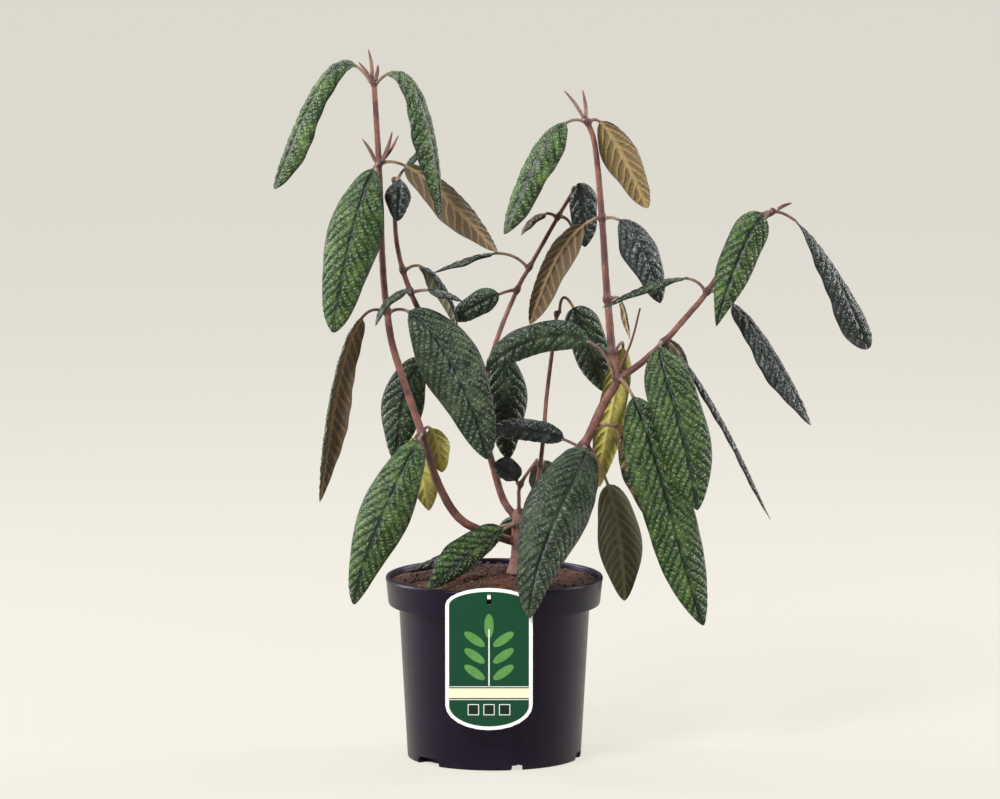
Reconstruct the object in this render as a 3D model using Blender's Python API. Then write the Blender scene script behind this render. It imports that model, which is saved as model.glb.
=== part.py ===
"""A potted leatherleaf viburnum: nursery pot, root ball, label, stems and sprays of drooping leaves.

Metres, +Z up. The origin is the middle of the pot's flat underside, -Y is the labelled front.
Bearings are compass-like angles in degrees about +Z: 0 is +X, -90 is the front.
"""

import math

import bmesh
import bpy
from mathutils import Vector

# Pot, measured to the outside of its wall
POT_HEIGHT = 0.160
RIM_RADIUS = 0.095
BAND_HEIGHT = 0.024
BAND_FOOT_RADIUS = 0.0927
NECK_RADIUS = 0.0833
FOOT_RADIUS = 0.0760
WALL = 0.0016
FLOOR = 0.0030
POT_SIDES = 48
NOTCHES = 4
NOTCH_WIDTH = 0.028
NOTCH_HEIGHT = 0.0065
NOTCH_BEARING = -50

# Root ball
SOIL_EDGE = 0.1545
SOIL_TOP = 0.1630
SOIL_FLAT_RADIUS = 0.040

# Label and the strap that hangs it on the rim
LABEL_WIDTH = 0.0755
LABEL_TOP = 0.1645
LABEL_FOOT = 0.0400
LABEL_X = -0.0045
LABEL_THICKNESS = 0.0009
LABEL_FRONT = -0.0979
SLOT_WIDTH = 0.0042
SLOT_HEIGHT = 0.0090
STRAP_WIDTH = 0.0030
STRAP_THICKNESS = 0.0008

# Plant
CLEARANCE = 0.0003
STEM_SIDES = 8
STEM_STEPS = 2
KNOT_WALL = 0.0016
KNOT_HALF_HEIGHT = 0.0036
PETIOLE_RADIUS = 0.0013
LEAF_THICKNESS = 0.0018
LEAF_STATIONS = (0.03, 0.12, 0.25, 0.40, 0.56, 0.72, 0.86, 0.96)
LEAF_SHAPE = 1.25

UP = Vector((0, 0, 1))


def clear_scene():
    for found in list(bpy.data.objects):
        bpy.data.objects.remove(found, do_unlink=True)


def material(name, colour, roughness):
    made = bpy.data.materials.new(name)
    made.use_nodes = True
    surface = made.node_tree.nodes["Principled BSDF"]
    surface.inputs["Base Color"].default_value = (*colour, 1)
    surface.inputs["Roughness"].default_value = roughness
    surface.inputs["Metallic"].default_value = 0
    made.diffuse_color = (*colour, 1)
    return made


def mesh_object(name, points, faces, coat):
    """An object from points and faces, with its faces turned outward and rounded edges shaded smooth."""
    mesh = bpy.data.meshes.new(name)
    mesh.from_pydata([tuple(p) for p in points], [], faces)
    shape = bmesh.new()
    shape.from_mesh(mesh)
    bmesh.ops.recalc_face_normals(shape, faces=shape.faces)
    shape.to_mesh(mesh)
    shape.free()
    mesh.materials.append(coat)
    mesh.shade_smooth()
    mesh.set_sharp_from_angle(angle=math.radians(40))
    made = bpy.data.objects.new(name, mesh)
    bpy.context.collection.objects.link(made)
    return made


def turned(name, profile, sides, coat):
    """A solid of revolution from (radius, height) pairs that start and end on the axis."""
    points = []
    rings = []
    for radius, height in profile:
        if radius == 0:
            rings.append([len(points)])
            points.append((0, 0, height))
            continue
        rings.append(list(range(len(points), len(points) + sides)))
        for k in range(sides):
            angle = 2 * math.pi * k / sides
            points.append((radius * math.cos(angle), radius * math.sin(angle), height))
    return mesh_object(name, points, bridged(rings), coat)


def bridged(rings):
    """Faces between rings of point numbers; a ring of one point makes a fan."""
    faces = []
    for low, high in zip(rings, rings[1:]):
        sides = max(len(low), len(high))
        for k in range(sides):
            n = (k + 1) % sides
            if len(low) == 1:
                faces.append((low[0], high[n], high[k]))
            elif len(high) == 1:
                faces.append((low[k], low[n], high[0]))
            else:
                faces.append((low[k], low[n], high[n], high[k]))
    return faces


def combine(base, operation, others):
    """One Boolean of the base with other objects, applied; the others are removed."""
    group = bpy.data.collections.new(base.name + "_" + operation.lower())
    for other in others:
        group.objects.link(other)
    step = base.modifiers.new(operation.lower(), "BOOLEAN")
    step.operation = operation
    step.operand_type = "COLLECTION"
    step.collection = group
    step.solver = "EXACT"
    bpy.context.view_layer.update()
    graph = bpy.context.evaluated_depsgraph_get()
    joined = bpy.data.meshes.new_from_object(base.evaluated_get(graph))
    base.modifiers.remove(step)
    base.data = joined
    for other in others:
        bpy.data.objects.remove(other, do_unlink=True)
    bpy.data.collections.remove(group)
    return base


def box(name, size, place, bearing, coat):
    """A box of a given size, its middle at a place, turned to a bearing."""
    half = [s / 2 for s in size]
    turn = math.radians(bearing)
    points = []
    for x in (-half[0], half[0]):
        for y in (-half[1], half[1]):
            for z in (-half[2], half[2]):
                points.append((
                    place[0] + x * math.cos(turn) - y * math.sin(turn),
                    place[1] + x * math.sin(turn) + y * math.cos(turn),
                    place[2] + z,
                ))
    faces = [(0, 1, 3, 2), (4, 6, 7, 5), (0, 4, 5, 1), (2, 3, 7, 6), (0, 2, 6, 4), (1, 5, 7, 3)]
    return mesh_object(name, points, faces, coat)


def pot(coat):
    """A moulded nursery pot with a deep rim band and four drain notches round its foot."""
    band_foot = POT_HEIGHT - BAND_HEIGHT
    profile = [
        (0, 0),
        (FOOT_RADIUS - 0.0010, 0),
        (FOOT_RADIUS, 0.0012),
        (NECK_RADIUS, band_foot - 0.0030),
        (NECK_RADIUS + 0.0006, band_foot - 0.0018),
        (BAND_FOOT_RADIUS - 0.0025, band_foot - 0.0014),
        (BAND_FOOT_RADIUS - 0.0007, band_foot - 0.0006),
        (BAND_FOOT_RADIUS, band_foot + 0.0012),
        (RIM_RADIUS, POT_HEIGHT - 0.0022),
        (RIM_RADIUS - 0.0003, POT_HEIGHT - 0.0006),
        (RIM_RADIUS - 0.0012, POT_HEIGHT),
        (RIM_RADIUS - 0.0026, POT_HEIGHT),
        (RIM_RADIUS - 0.0032, POT_HEIGHT - 0.0012),
        (BAND_FOOT_RADIUS - WALL, band_foot + 0.0010),
        (BAND_FOOT_RADIUS - WALL - 0.0014, band_foot + 0.0002),
        (NECK_RADIUS - WALL + 0.0006, band_foot - 0.0002),
        (NECK_RADIUS - WALL, band_foot - 0.0030),
        (FOOT_RADIUS - WALL, FLOOR),
        (0, FLOOR),
    ]
    made = turned("pot", profile, POT_SIDES, coat)
    cutters = []
    for k in range(NOTCHES):
        bearing = NOTCH_BEARING + 360 * k / NOTCHES
        reach = FOOT_RADIUS - 0.002
        place = (reach * math.cos(math.radians(bearing)), reach * math.sin(math.radians(bearing)), 0)
        size = (0.020, NOTCH_WIDTH, 2 * NOTCH_HEIGHT)
        cutters.append(box(f"notch_{k}", size, place, bearing, coat))
    return combine(made, "DIFFERENCE", cutters)


def soil(coat):
    """The peat root ball that fills the pot, with a low mound round the stems."""
    band_foot = POT_HEIGHT - BAND_HEIGHT
    inset = WALL + CLEARANCE
    slope = (RIM_RADIUS - BAND_FOOT_RADIUS) / BAND_HEIGHT
    edge = BAND_FOOT_RADIUS - 0.0034 + slope * (SOIL_EDGE - band_foot)
    profile = [
        (0, FLOOR + CLEARANCE),
        (FOOT_RADIUS - inset, FLOOR + CLEARANCE),
        (NECK_RADIUS - inset, band_foot - 0.0028),
        (NECK_RADIUS - inset, band_foot + 0.0006),
        (BAND_FOOT_RADIUS - 0.0036, band_foot + 0.0022),
        (edge, SOIL_EDGE),
        ((edge + SOIL_FLAT_RADIUS) / 2, (SOIL_EDGE + 2 * SOIL_TOP) / 3),
        (SOIL_FLAT_RADIUS, SOIL_TOP),
        (0, SOIL_TOP),
    ]
    return turned("soil", profile, POT_SIDES // 2, coat)


def label(coat):
    """A flat label with an arched head and foot, and a slot for its strap."""
    half = LABEL_WIDTH / 2
    outline = []
    for centre, rise, start in ((LABEL_TOP - 0.015, 0.015, 0), (LABEL_FOOT + 0.022, 0.022, 180)):
        for k in range(13):
            angle = math.radians(start + 15 * k)
            outline.append((LABEL_X + half * math.cos(angle), centre + rise * math.sin(angle)))
    count = len(outline)
    points = [(x, LABEL_FRONT, z) for x, z in outline]
    points += [(x, LABEL_FRONT + LABEL_THICKNESS, z) for x, z in outline]
    faces = [tuple(range(count)), tuple(range(2 * count - 1, count - 1, -1))]
    faces += [(k, (k + 1) % count, count + (k + 1) % count, count + k) for k in range(count)]
    made = mesh_object("label", points, faces, coat)
    slot_place = (LABEL_X, LABEL_FRONT, LABEL_TOP - 0.0055 - SLOT_HEIGHT / 2)
    return combine(made, "DIFFERENCE", [box("slot", (SLOT_WIDTH, 0.01, SLOT_HEIGHT), slot_place, 0, coat)])


def label_strap(coat):
    """The white strap: a head in front of the label, through its slot, over the rim and down inside."""
    t = STRAP_THICKNESS
    slot_top = LABEL_TOP - 0.0055
    front = LABEL_FRONT - CLEARANCE - t
    behind = -RIM_RADIUS - CLEARANCE - t
    over = POT_HEIGHT + CLEARANCE
    inside = -RIM_RADIUS + 0.0040 + CLEARANCE
    outline = [
        (front, slot_top - 0.0040),
        (front, slot_top - 0.0008),
        (behind, slot_top - 0.0008),
        (behind, over + t),
        (inside + t, over + t),
        (inside + t, SOIL_EDGE + 0.0012),
        (inside, SOIL_EDGE + 0.0012),
        (inside, over),
        (behind + t, over),
        (behind + t, slot_top - 0.0016),
        (front + t, slot_top - 0.0016),
        (front + t, slot_top - 0.0040),
    ]
    count = len(outline)
    points = [(LABEL_X - STRAP_WIDTH / 2, y, z) for y, z in outline]
    points += [(LABEL_X + STRAP_WIDTH / 2, y, z) for y, z in outline]
    faces = [tuple(range(count)), tuple(range(2 * count - 1, count - 1, -1))]
    faces += [(k, (k + 1) % count, count + (k + 1) % count, count + k) for k in range(count)]
    return mesh_object("label_strap", points, faces, coat)


def direction(bearing, pitch):
    turn, rise = math.radians(bearing), math.radians(pitch)
    return Vector((math.cos(rise) * math.cos(turn), math.cos(rise) * math.sin(turn), math.sin(rise)))


def smooth(t):
    t = min(max(t, 0), 1)
    return t * t * (3 - 2 * t)


class Stem:
    """A tapering limb along a smooth line through hand-set places, from its foot to its tip."""

    def __init__(self, name, route, foot_radius, tip_radius, flare=0.0):
        self.name = name
        ends = [2 * Vector(route[0]) - Vector(route[1]), 2 * Vector(route[-1]) - Vector(route[-2])]
        places = [ends[0], *map(Vector, route), ends[1]]
        self.line = []
        for a, b, c, d in zip(places, places[1:], places[2:], places[3:]):
            for k in range(STEM_STEPS):
                t = k / STEM_STEPS
                tangent_in, tangent_out = (c - a) / 2, (d - b) / 2
                bend = 2 * t**3 - 3 * t**2 + 1, t**3 - 2 * t**2 + t, -2 * t**3 + 3 * t**2, t**3 - t**2
                self.line.append(bend[0] * b + bend[1] * tangent_in + bend[2] * c + bend[3] * tangent_out)
        self.line.append(Vector(route[-1]))
        length = sum((q - p).length for p, q in zip(self.line, self.line[1:]))
        self.radii = []
        run = 0
        for k, p in enumerate(self.line):
            run += (p - self.line[k - 1]).length if k else 0
            swell = flare * math.exp(-run / 0.008)
            self.radii.append(foot_radius + (tip_radius - foot_radius) * run / length + swell)

    def at(self, height):
        """The place on the stem's line at a height, and the stem's radius and direction there."""
        for k, (p, q) in enumerate(zip(self.line, self.line[1:])):
            if height <= q.z or k == len(self.line) - 2:
                t = (height - p.z) / (q.z - p.z)
                radius = self.radii[k] + (self.radii[k + 1] - self.radii[k]) * min(t, 1)
                return p + (q - p) * t, radius, (q - p).normalized()
        raise ValueError(height)

    def tube(self, coat, swell=0.0, name=None):
        """The limb as a closed tube, or the same tube swollen on all sides to cut a clearance."""
        line = list(self.line)
        start = (line[1] - line[0]).normalized()
        end = (line[-1] - line[-2]).normalized()
        line[0] = line[0] - start * swell
        line[-1] = line[-1] + end * swell
        side = start.orthogonal().normalized()
        points, rings = [], []
        for k, p in enumerate(line):
            ahead = (line[min(k + 1, len(line) - 1)] - line[max(k - 1, 0)]).normalized()
            side = (side - ahead * side.dot(ahead)).normalized()
            across = ahead.cross(side)
            rings.append(list(range(len(points), len(points) + STEM_SIDES)))
            for n in range(STEM_SIDES):
                angle = 2 * math.pi * n / STEM_SIDES
                spoke = side * math.cos(angle) + across * math.sin(angle)
                points.append(p + spoke * (self.radii[k] + swell))
        foot, tip = [len(points)], [len(points) + 1]
        points += [line[0], line[-1] + end * self.radii[-1] * 0.3]
        return mesh_object(name or self.name, points, bridged([foot, *rings, tip]), coat)


def limb(name, coat, route, foot_radius, tip_radius, parents=(), flare=0.0):
    """A stem as an object of its own, its foot cut to stand clear of the stems it grows from."""
    stem = Stem(name, route, foot_radius, tip_radius, flare)
    made = stem.tube(coat)
    if parents:
        cutters = [parent.tube(coat, CLEARANCE, parent.name + "_cutter") for parent in parents]
        combine(made, "DIFFERENCE", cutters)
    return stem


def leaf(stem, height, bearing, reach, drop, width, coat, sets_off=None, face=None, lift=35, hang=-80,
         stiff=0.35, slack=0.40, petiole=0.014, curl=55, fold=0, twist=0, broadest=0.42):
    """A stalked leaf whose tip hangs at a bearing, a reach and a drop from its place on the stem.

    It sets off from the stem at one bearing and pitch and ends at another, so its midrib is one smooth
    curve. Its upper face is turned toward the bearing called face, and its margins curl down.
    """
    place, stem_radius, _ = stem.at(height)
    sets_off = bearing if sets_off is None else sets_off
    root = place + direction(sets_off, 0) * (stem_radius + KNOT_WALL * 0.4)
    tip = place + direction(bearing, 0) * reach - UP * drop
    span = (tip - root).length
    grip = root + direction(sets_off, lift) * span * stiff
    droop = tip - direction(bearing, hang) * span * slack
    fine = []
    for k in range(65):
        t = k / 64
        s = 1 - t
        fine.append(root * s**3 + grip * 3 * s * s * t + droop * 3 * s * t * t + tip * t**3)
    runs = [0.0]
    for p, q in zip(fine, fine[1:]):
        runs.append(runs[-1] + (q - p).length)
    length = runs[-1]
    blade = length - petiole

    def along(run):
        k = next((n for n in range(64) if run <= runs[n + 1]), 63)
        t = (run - runs[k]) / (runs[k + 1] - runs[k])
        return fine[k] + (fine[k + 1] - fine[k]) * t, (fine[k + 1] - fine[k]).normalized()

    stops = [(-1, 0.0), (-1, petiole * 0.5), (-1, petiole * 0.9)]
    stops += [(u, petiole + u * blade) for u in LEAF_STATIONS]
    across = direction(sets_off + 90, 0)
    frames = []
    for u, run in stops:
        p, ahead = along(run)
        across = (across - ahead * across.dot(ahead)).normalized()
        frames.append((u, run, p, ahead, across.copy(), ahead.cross(across)))
    roll = 0.0
    if face is not None:
        middle = frames[len(frames) // 2]
        toward = direction(face, 0)
        roll = math.atan2(-toward.dot(middle[4]), toward.dot(middle[5]))
    rise_power = LEAF_SHAPE * broadest
    fall_power = LEAF_SHAPE - rise_power
    peak = broadest**rise_power * (1 - broadest) ** fall_power
    points, rings = [], []
    for u, run, p, ahead, side, top in frames:
        turn = roll * smooth(run / petiole) + math.radians(twist) * max(u, 0)
        y_axis = side * math.cos(turn) + top * math.sin(turn)
        z_axis = top * math.cos(turn) - side * math.sin(turn)
        rings.append(list(range(len(points), len(points) + 8)))
        for n in range(8):
            angle = math.pi * (1 - n / 4)
            if u < 0:
                y, z = PETIOLE_RADIUS * math.cos(angle), PETIOLE_RADIUS * math.sin(angle)
            else:
                v = -1 + n / 2 if n <= 4 else 3 - n / 2
                half = width / 2 * u**rise_power * (1 - u) ** fall_power / peak
                half = max(half, PETIOLE_RADIUS)
                bow = math.radians(curl) * v
                y = half * math.sin(bow) / math.radians(curl)
                z = -half * (1 - math.cos(bow)) / math.radians(curl)
                z += half * abs(v) * math.sin(math.radians(fold))
                y *= math.cos(math.radians(fold))
                z += (0.5 if n <= 4 else -0.5) * LEAF_THICKNESS * (1 - v * v)
            points.append(p + y_axis * y + z_axis * z)
    rings = [[len(points)], *rings, [len(points) + 1]]
    points += [root, tip]
    return mesh_object("leaf", points, bridged(rings), coat)


def bud(stem, height, bearing, pitch, length, coat, radius=0.0017):
    """A long naked bud, a slim spindle that stands out of its node."""
    place, stem_radius, _ = stem.at(height)
    ahead = direction(bearing, pitch)
    root = place + direction(bearing, 0) * (stem_radius + KNOT_WALL * 0.6)
    side = ahead.orthogonal().normalized()
    points, rings = [root], [[0]]
    for share, swell in ((0.0, 0.75), (0.35, 1.0), (0.75, 0.6)):
        rings.append(list(range(len(points), len(points) + 5)))
        for n in range(5):
            angle = 2 * math.pi * n / 5
            spoke = side * math.cos(angle) + ahead.cross(side) * math.sin(angle)
            points.append(root + ahead * length * share + spoke * radius * swell)
    rings.append([len(points)])
    points.append(root + ahead * length)
    return mesh_object("bud", points, bridged(rings), coat)


def knot(stem, height, coat, at_tip=False):
    """The swollen node that carries a spray: a sleeve round the stem, or a cap over its tip."""
    place, stem_radius, ahead = stem.at(height)
    radius = stem_radius + CLEARANCE + KNOT_WALL
    low, high = (-0.0045, 0.0050) if at_tip else (-KNOT_HALF_HEIGHT, KNOT_HALF_HEIGHT)
    side = ahead.orthogonal().normalized()
    points, rings = [], []
    for share, swell in ((low, 0.86), (low * 0.4, 1.0), (high * 0.4, 1.0), (high, 0.6 if at_tip else 0.86)):
        rings.append(list(range(len(points), len(points) + 10)))
        for n in range(10):
            angle = 2 * math.pi * n / 10
            spoke = side * math.cos(angle) + ahead.cross(side) * math.sin(angle)
            points.append(place + ahead * share + spoke * radius * swell)
    rings = [[len(points)], *rings, [len(points) + 1]]
    points += [place + ahead * low, place + ahead * high]
    return mesh_object("knot", points, bridged(rings), coat)


def spray(name, coat, stem, pieces, clear_of=()):
    """Joins leaves, buds and their knots into one solid that stands clear of the stems it surrounds."""
    made = combine(pieces[0], "UNION", pieces[1:])
    made.name = made.data.name = name
    cutters = [s.tube(coat, CLEARANCE, s.name + "_cutter") for s in (stem, *clear_of)]
    combine(made, "DIFFERENCE", cutters)
    made.data.shade_smooth()
    made.data.set_sharp_from_angle(angle=math.radians(40))
    return made


def plant(bark, green):
    """The trunk, its stems and, on each stem, the sprays of leaves from its tip down."""
    trunk = limb("trunk", bark, [(0.022, 0.003, SOIL_TOP + 2 * CLEARANCE), (0.022, 0.003, 0.190),
                                 (0.022, 0.002, 0.213)], 0.0080, 0.0060, flare=0.004)
    left = limb("left_stem", bark, [
        (0.021, 0.002, 0.188), (-0.014, -0.005, 0.201), (-0.034, -0.012, 0.216), (-0.050, -0.020, 0.247),
        (-0.062, -0.024, 0.286), (-0.086, -0.022, 0.357), (-0.093, -0.020, 0.395), (-0.097, -0.018, 0.440),
        (-0.100, -0.015, 0.524), (-0.104, -0.015, 0.595)], 0.0038, 0.0023, parents=[trunk])
    back = limb("back_stem", bark, [
        (0.021, 0.004, 0.208), (0.008, 0.010, 0.225), (-0.002, 0.012, 0.258), (-0.011, 0.015, 0.286),
        (-0.028, 0.014, 0.321), (-0.049, 0.008, 0.361), (-0.073, -0.002, 0.410), (-0.085, -0.004, 0.455),
        (-0.0865, -0.003, 0.509)], 0.0033, 0.0018, parents=[trunk])
    right = limb("right_stem", bark, [
        (0.023, 0.004, 0.206), (0.037, 0.015, 0.226), (0.058, 0.020, 0.250), (0.078, 0.020, 0.271),
        (0.095, 0.020, 0.307), (0.108, 0.020, 0.331), (0.103, 0.022, 0.354), (0.098, 0.026, 0.412),
        (0.094, 0.030, 0.471), (0.088, 0.033, 0.532), (0.081, 0.033, 0.556)], 0.0046, 0.0023,
        parents=[trunk, back])
    centre = limb("centre_stem", bark, [
        (-0.011, 0.015, 0.286), (-0.010, 0.030, 0.315), (0.002, 0.045, 0.361), (0.020, 0.050, 0.405),
        (0.031, 0.052, 0.425), (0.056, 0.056, 0.469), (0.071, 0.058, 0.494)], 0.0024, 0.0016,
        parents=[back])
    branch = limb("right_branch", bark, [
        (0.106, 0.020, 0.329), (0.127, 0.015, 0.344), (0.148, 0.010, 0.364), (0.171, 0.006, 0.391),
        (0.186, 0.004, 0.410), (0.215, 0.000, 0.455), (0.243, 0.000, 0.481)], 0.0030, 0.0018,
        parents=[right])
    thin = limb("thin_stem", bark, [
        (0.024, 0.006, 0.206), (0.036, 0.028, 0.228), (0.043, 0.038, 0.274), (0.046, 0.040, 0.313),
        (0.055, 0.044, 0.386)], 0.0021, 0.0016, parents=[trunk, back, right])
    twig = limb("inner_twig", bark, [
        (0.022, 0.000, 0.210), (0.0215, -0.006, 0.226), (0.023, -0.007, 0.241), (0.037, -0.008, 0.263)],
        0.0018, 0.0013, parents=[trunk, back, right])
    dead = limb("dead_twig", bark, [
        (0.1075, 0.018, 0.334), (0.120, 0.010, 0.366), (0.127, 0.006, 0.394)], 0.0013, 0.0008,
        parents=[right, branch])

    def grow(stem, height, **shape):
        return leaf(stem, height, coat=green, **shape)

    spray("left_tip_spray", green, left, [
        knot(left, 0.595, green, at_tip=True),
        grow(left, 0.594, bearing=165, reach=0.091, drop=0.095, width=0.034, lift=58, stiff=0.50,
             hang=-65, petiole=0.018, face=150, broadest=0.55),
        grow(left, 0.594, bearing=-34, reach=0.069, drop=0.114, width=0.038, lift=45, stiff=0.45,
             slack=0.50, hang=-88, face=-28),
        bud(left, 0.597, 120, 75, 0.026, green), bud(left, 0.597, 180, 55, 0.018, green),
        bud(left, 0.597, -60, 72, 0.014, green),
    ])
    spray("left_upper_pair", green, left, [
        knot(left, 0.524, green),
        grow(left, 0.524, bearing=-128, reach=0.063, drop=0.142, width=0.054, sets_off=-100, lift=10,
             stiff=0.22, face=-100, broadest=0.46),
        grow(left, 0.524, bearing=3, reach=0.103, drop=0.078, width=0.034, lift=22, stiff=0.22,
             slack=0.30, hang=-45, petiole=0.020, face=60),
        bud(left, 0.526, 180, 60, 0.022, green), bud(left, 0.526, 20, 55, 0.026, green),
        bud(left, 0.526, -30, 68, 0.028, green),
    ])
    spray("left_middle_pair", green, left, [
        knot(left, 0.395, green),
        grow(left, 0.395, bearing=-25, reach=0.096, drop=0.124, width=0.060, lift=30, stiff=0.25,
             slack=0.30, petiole=0.018, face=-80),
        grow(left, 0.395, bearing=172, reach=0.060, drop=0.169, width=0.032, lift=25, stiff=0.22,
             slack=0.30, petiole=0.020, face=140),
    ])
    spray("left_lower_spray", green, left, [
        knot(left, 0.288, green),
        grow(left, 0.288, bearing=-139, reach=0.078, drop=0.142, width=0.050, sets_off=-95, lift=0,
             stiff=0.30, slack=0.30, face=-100),
        grow(left, 0.288, bearing=77, reach=0.024, drop=0.071, width=0.030, sets_off=120, lift=-10,
             petiole=0.010, face=95),
        grow(left, 0.290, bearing=64, reach=0.040, drop=0.041, width=0.024, lift=40, petiole=0.014,
             face=90),
    ])
    spray("back_tip_spray", green, back, [
        knot(back, 0.509, green, at_tip=True),
        grow(back, 0.508, bearing=-80, reach=0.018, drop=0.034, width=0.026, sets_off=-50, lift=35,
             petiole=0.006),
        grow(back, 0.508, bearing=22, reach=0.035, drop=-0.024, width=0.012, lift=60, petiole=0.006),
    ])
    spray("back_upper_leaf", green, back, [
        knot(back, 0.429, green),
        grow(back, 0.429, bearing=26, reach=0.053, drop=0.054, width=0.028, lift=38),
    ])
    spray("back_middle_pair", green, back, [
        knot(back, 0.410, green),
        grow(back, 0.410, bearing=-122, reach=0.056, drop=0.024, width=0.014, sets_off=-85,
             petiole=0.010),
        grow(back, 0.410, bearing=-22, reach=0.049, drop=0.006, width=0.018, lift=15, hang=-30),
    ])
    spray("back_lower_pair", green, back, [
        knot(back, 0.352, green),
        grow(back, 0.352, bearing=175, reach=0.043, drop=0.094, width=0.042, lift=-10, face=-90),
        grow(back, 0.352, bearing=51, reach=0.040, drop=0.072, width=0.038, lift=30),
    ])
    spray("centre_lower_leaf", green, centre, [
        knot(centre, 0.343, green),
        grow(centre, 0.343, bearing=3, reach=0.016, drop=0.087, width=0.042, lift=62, stiff=0.42,
             face=-90),
    ])
    spray("centre_middle_leaf", green, centre, [
        knot(centre, 0.405, green),
        grow(centre, 0.405, bearing=-165, reach=0.059, drop=0.025, width=0.026, lift=-5, stiff=0.25,
             hang=-30, face=-90),
    ])
    spray("centre_upper_leaf", green, centre, [
        knot(centre, 0.425, green),
        grow(centre, 0.425, bearing=177, reach=0.086, drop=0.006, width=0.018, lift=52, hang=-25,
             petiole=0.030),
    ])
    spray("centre_tip_spray", green, centre, [
        knot(centre, 0.494, green, at_tip=True),
        grow(centre, 0.493, bearing=-50, reach=0.014, drop=0.050, width=0.030, sets_off=-60, lift=60,
             stiff=0.45, petiole=0.006, face=-100),
    ])
    spray("centre_high_pair", green, centre, [
        knot(centre, 0.469, green),
        grow(centre, 0.469, bearing=-170, reach=0.033, drop=0.016, width=0.018, lift=45,
             petiole=0.008),
        grow(centre, 0.469, bearing=10, reach=0.015, drop=0.038, width=0.014, lift=-10,
             petiole=0.012),
    ])
    spray("right_tip_spray", green, right, [
        knot(right, 0.556, green, at_tip=True),
        grow(right, 0.555, bearing=-156, reach=0.080, drop=0.095, width=0.036, lift=28, stiff=0.30,
             slack=0.20, hang=-60, petiole=0.018, face=-130),
        grow(right, 0.555, bearing=27, reach=0.060, drop=0.079, width=0.036, lift=45, stiff=0.20,
             slack=0.15, hang=-60, petiole=0.010, face=75),
        bud(right, 0.558, 150, 50, 0.030, green), bud(right, 0.558, 100, 55, 0.028, green),
    ])
    spray("right_upper_pair", green, right, [
        knot(right, 0.471, green),
        grow(right, 0.471, bearing=180, reach=0.063, drop=0.094, width=0.030, lift=-20, stiff=0.30,
             hang=-70, face=110),
        grow(right, 0.471, bearing=-27, reach=0.057, drop=0.072, width=0.038, lift=15, stiff=0.28,
             face=-60),
    ])
    spray("right_middle_leaf", green, right, [
        knot(right, 0.400, green),
        grow(right, 0.400, bearing=24, reach=0.022, drop=0.037, width=0.012, petiole=0.008),
    ])
    spray("fork_spray", green, right, [
        knot(right, 0.331, green),
        grow(right, 0.331, bearing=-168, reach=0.118, drop=-0.009, width=0.034, sets_off=-150, lift=80,
             stiff=0.50, hang=-50, petiole=0.042, face=-90),
        grow(right, 0.331, bearing=-34, reach=0.090, drop=0.211, width=0.058, sets_off=-60, lift=-15,
             stiff=0.20, hang=-68, petiole=0.024, face=-80),
    ], clear_of=[branch, dead])
    spray("fork_back_leaf", green, right, [
        knot(right, 0.354, green),
        grow(right, 0.354, bearing=111, reach=0.030, drop=0.124, width=0.030, sets_off=40, lift=55,
             petiole=0.018, face=90),
    ])
    spray("right_lower_spray", green, right, [
        knot(right, 0.271, green),
        grow(right, 0.271, bearing=-110, reach=0.140, drop=0.131, width=0.064, sets_off=-82, lift=5,
             stiff=0.42, hang=-80, face=-90),
        grow(right, 0.271, bearing=-167, reach=0.087, drop=-0.017, width=0.026, lift=30, hang=0,
             curl=70, face=-90),
        grow(right, 0.271, bearing=24, reach=0.040, drop=0.140, width=0.044, lift=-55, hang=-86,
             petiole=0.040, face=90),
    ])
    spray("right_inner_leaf", green, right, [
        knot(right, 0.288, green),
        grow(right, 0.288, bearing=8, reach=0.048, drop=0.081, width=0.030, lift=20, face=-50),
    ])
    spray("branch_lower_spray", green, branch, [
        knot(branch, 0.364, green),
        grow(branch, 0.364, bearing=-63, reach=0.062, drop=0.140, width=0.056, sets_off=-115, lift=20,
             stiff=0.22, face=-90),
        grow(branch, 0.364, bearing=1, reach=0.094, drop=0.157, width=0.020, lift=-38, stiff=0.20,
             slack=0.20, hang=-65),
        grow(branch, 0.364, bearing=75, reach=0.042, drop=0.105, width=0.044, lift=20),
    ])
    spray("branch_middle_pair", green, branch, [
        knot(branch, 0.410, green),
        grow(branch, 0.410, bearing=-163, reach=0.097, drop=0.011, width=0.018, lift=65, stiff=0.30,
             hang=-25, petiole=0.020),
        grow(branch, 0.410, bearing=-15, reach=0.093, drop=0.115, width=0.034, lift=-5, stiff=0.20,
             slack=0.22, hang=-60, petiole=0.022, face=-30),
    ])
    spray("branch_tip_spray", green, branch, [
        knot(branch, 0.481, green, at_tip=True),
        grow(branch, 0.480, bearing=-138, reach=0.067, drop=0.095, width=0.040, sets_off=-118, lift=20,
             stiff=0.28, slack=0.25, hang=-70, face=-90, broadest=0.30),
        grow(branch, 0.480, bearing=8, reach=0.086, drop=0.122, width=0.036, lift=-8, stiff=0.25,
             slack=0.25, hang=-65, petiole=0.018, twist=75, broadest=0.62),
        bud(branch, 0.482, 20, 20, 0.014, green),
    ])
    spray("thin_tip_leaf", green, thin, [
        knot(thin, 0.386, green, at_tip=True),
        grow(thin, 0.385, bearing=11, reach=0.041, drop=0.070, width=0.040, lift=88, stiff=0.62,
             slack=0.30, petiole=0.028, face=-90),
    ])
    spray("thin_lower_leaf", green, thin, [
        knot(thin, 0.252, green),
        grow(thin, 0.252, bearing=80, reach=0.062, drop=0.055, width=0.036, lift=20),
    ])
    spray("inner_leaf", green, twig, [
        knot(twig, 0.241, green),
        grow(twig, 0.241, bearing=-172, reach=0.024, drop=-0.018, width=0.024, lift=75, hang=10,
             petiole=0.004, face=-90),
    ])
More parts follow.
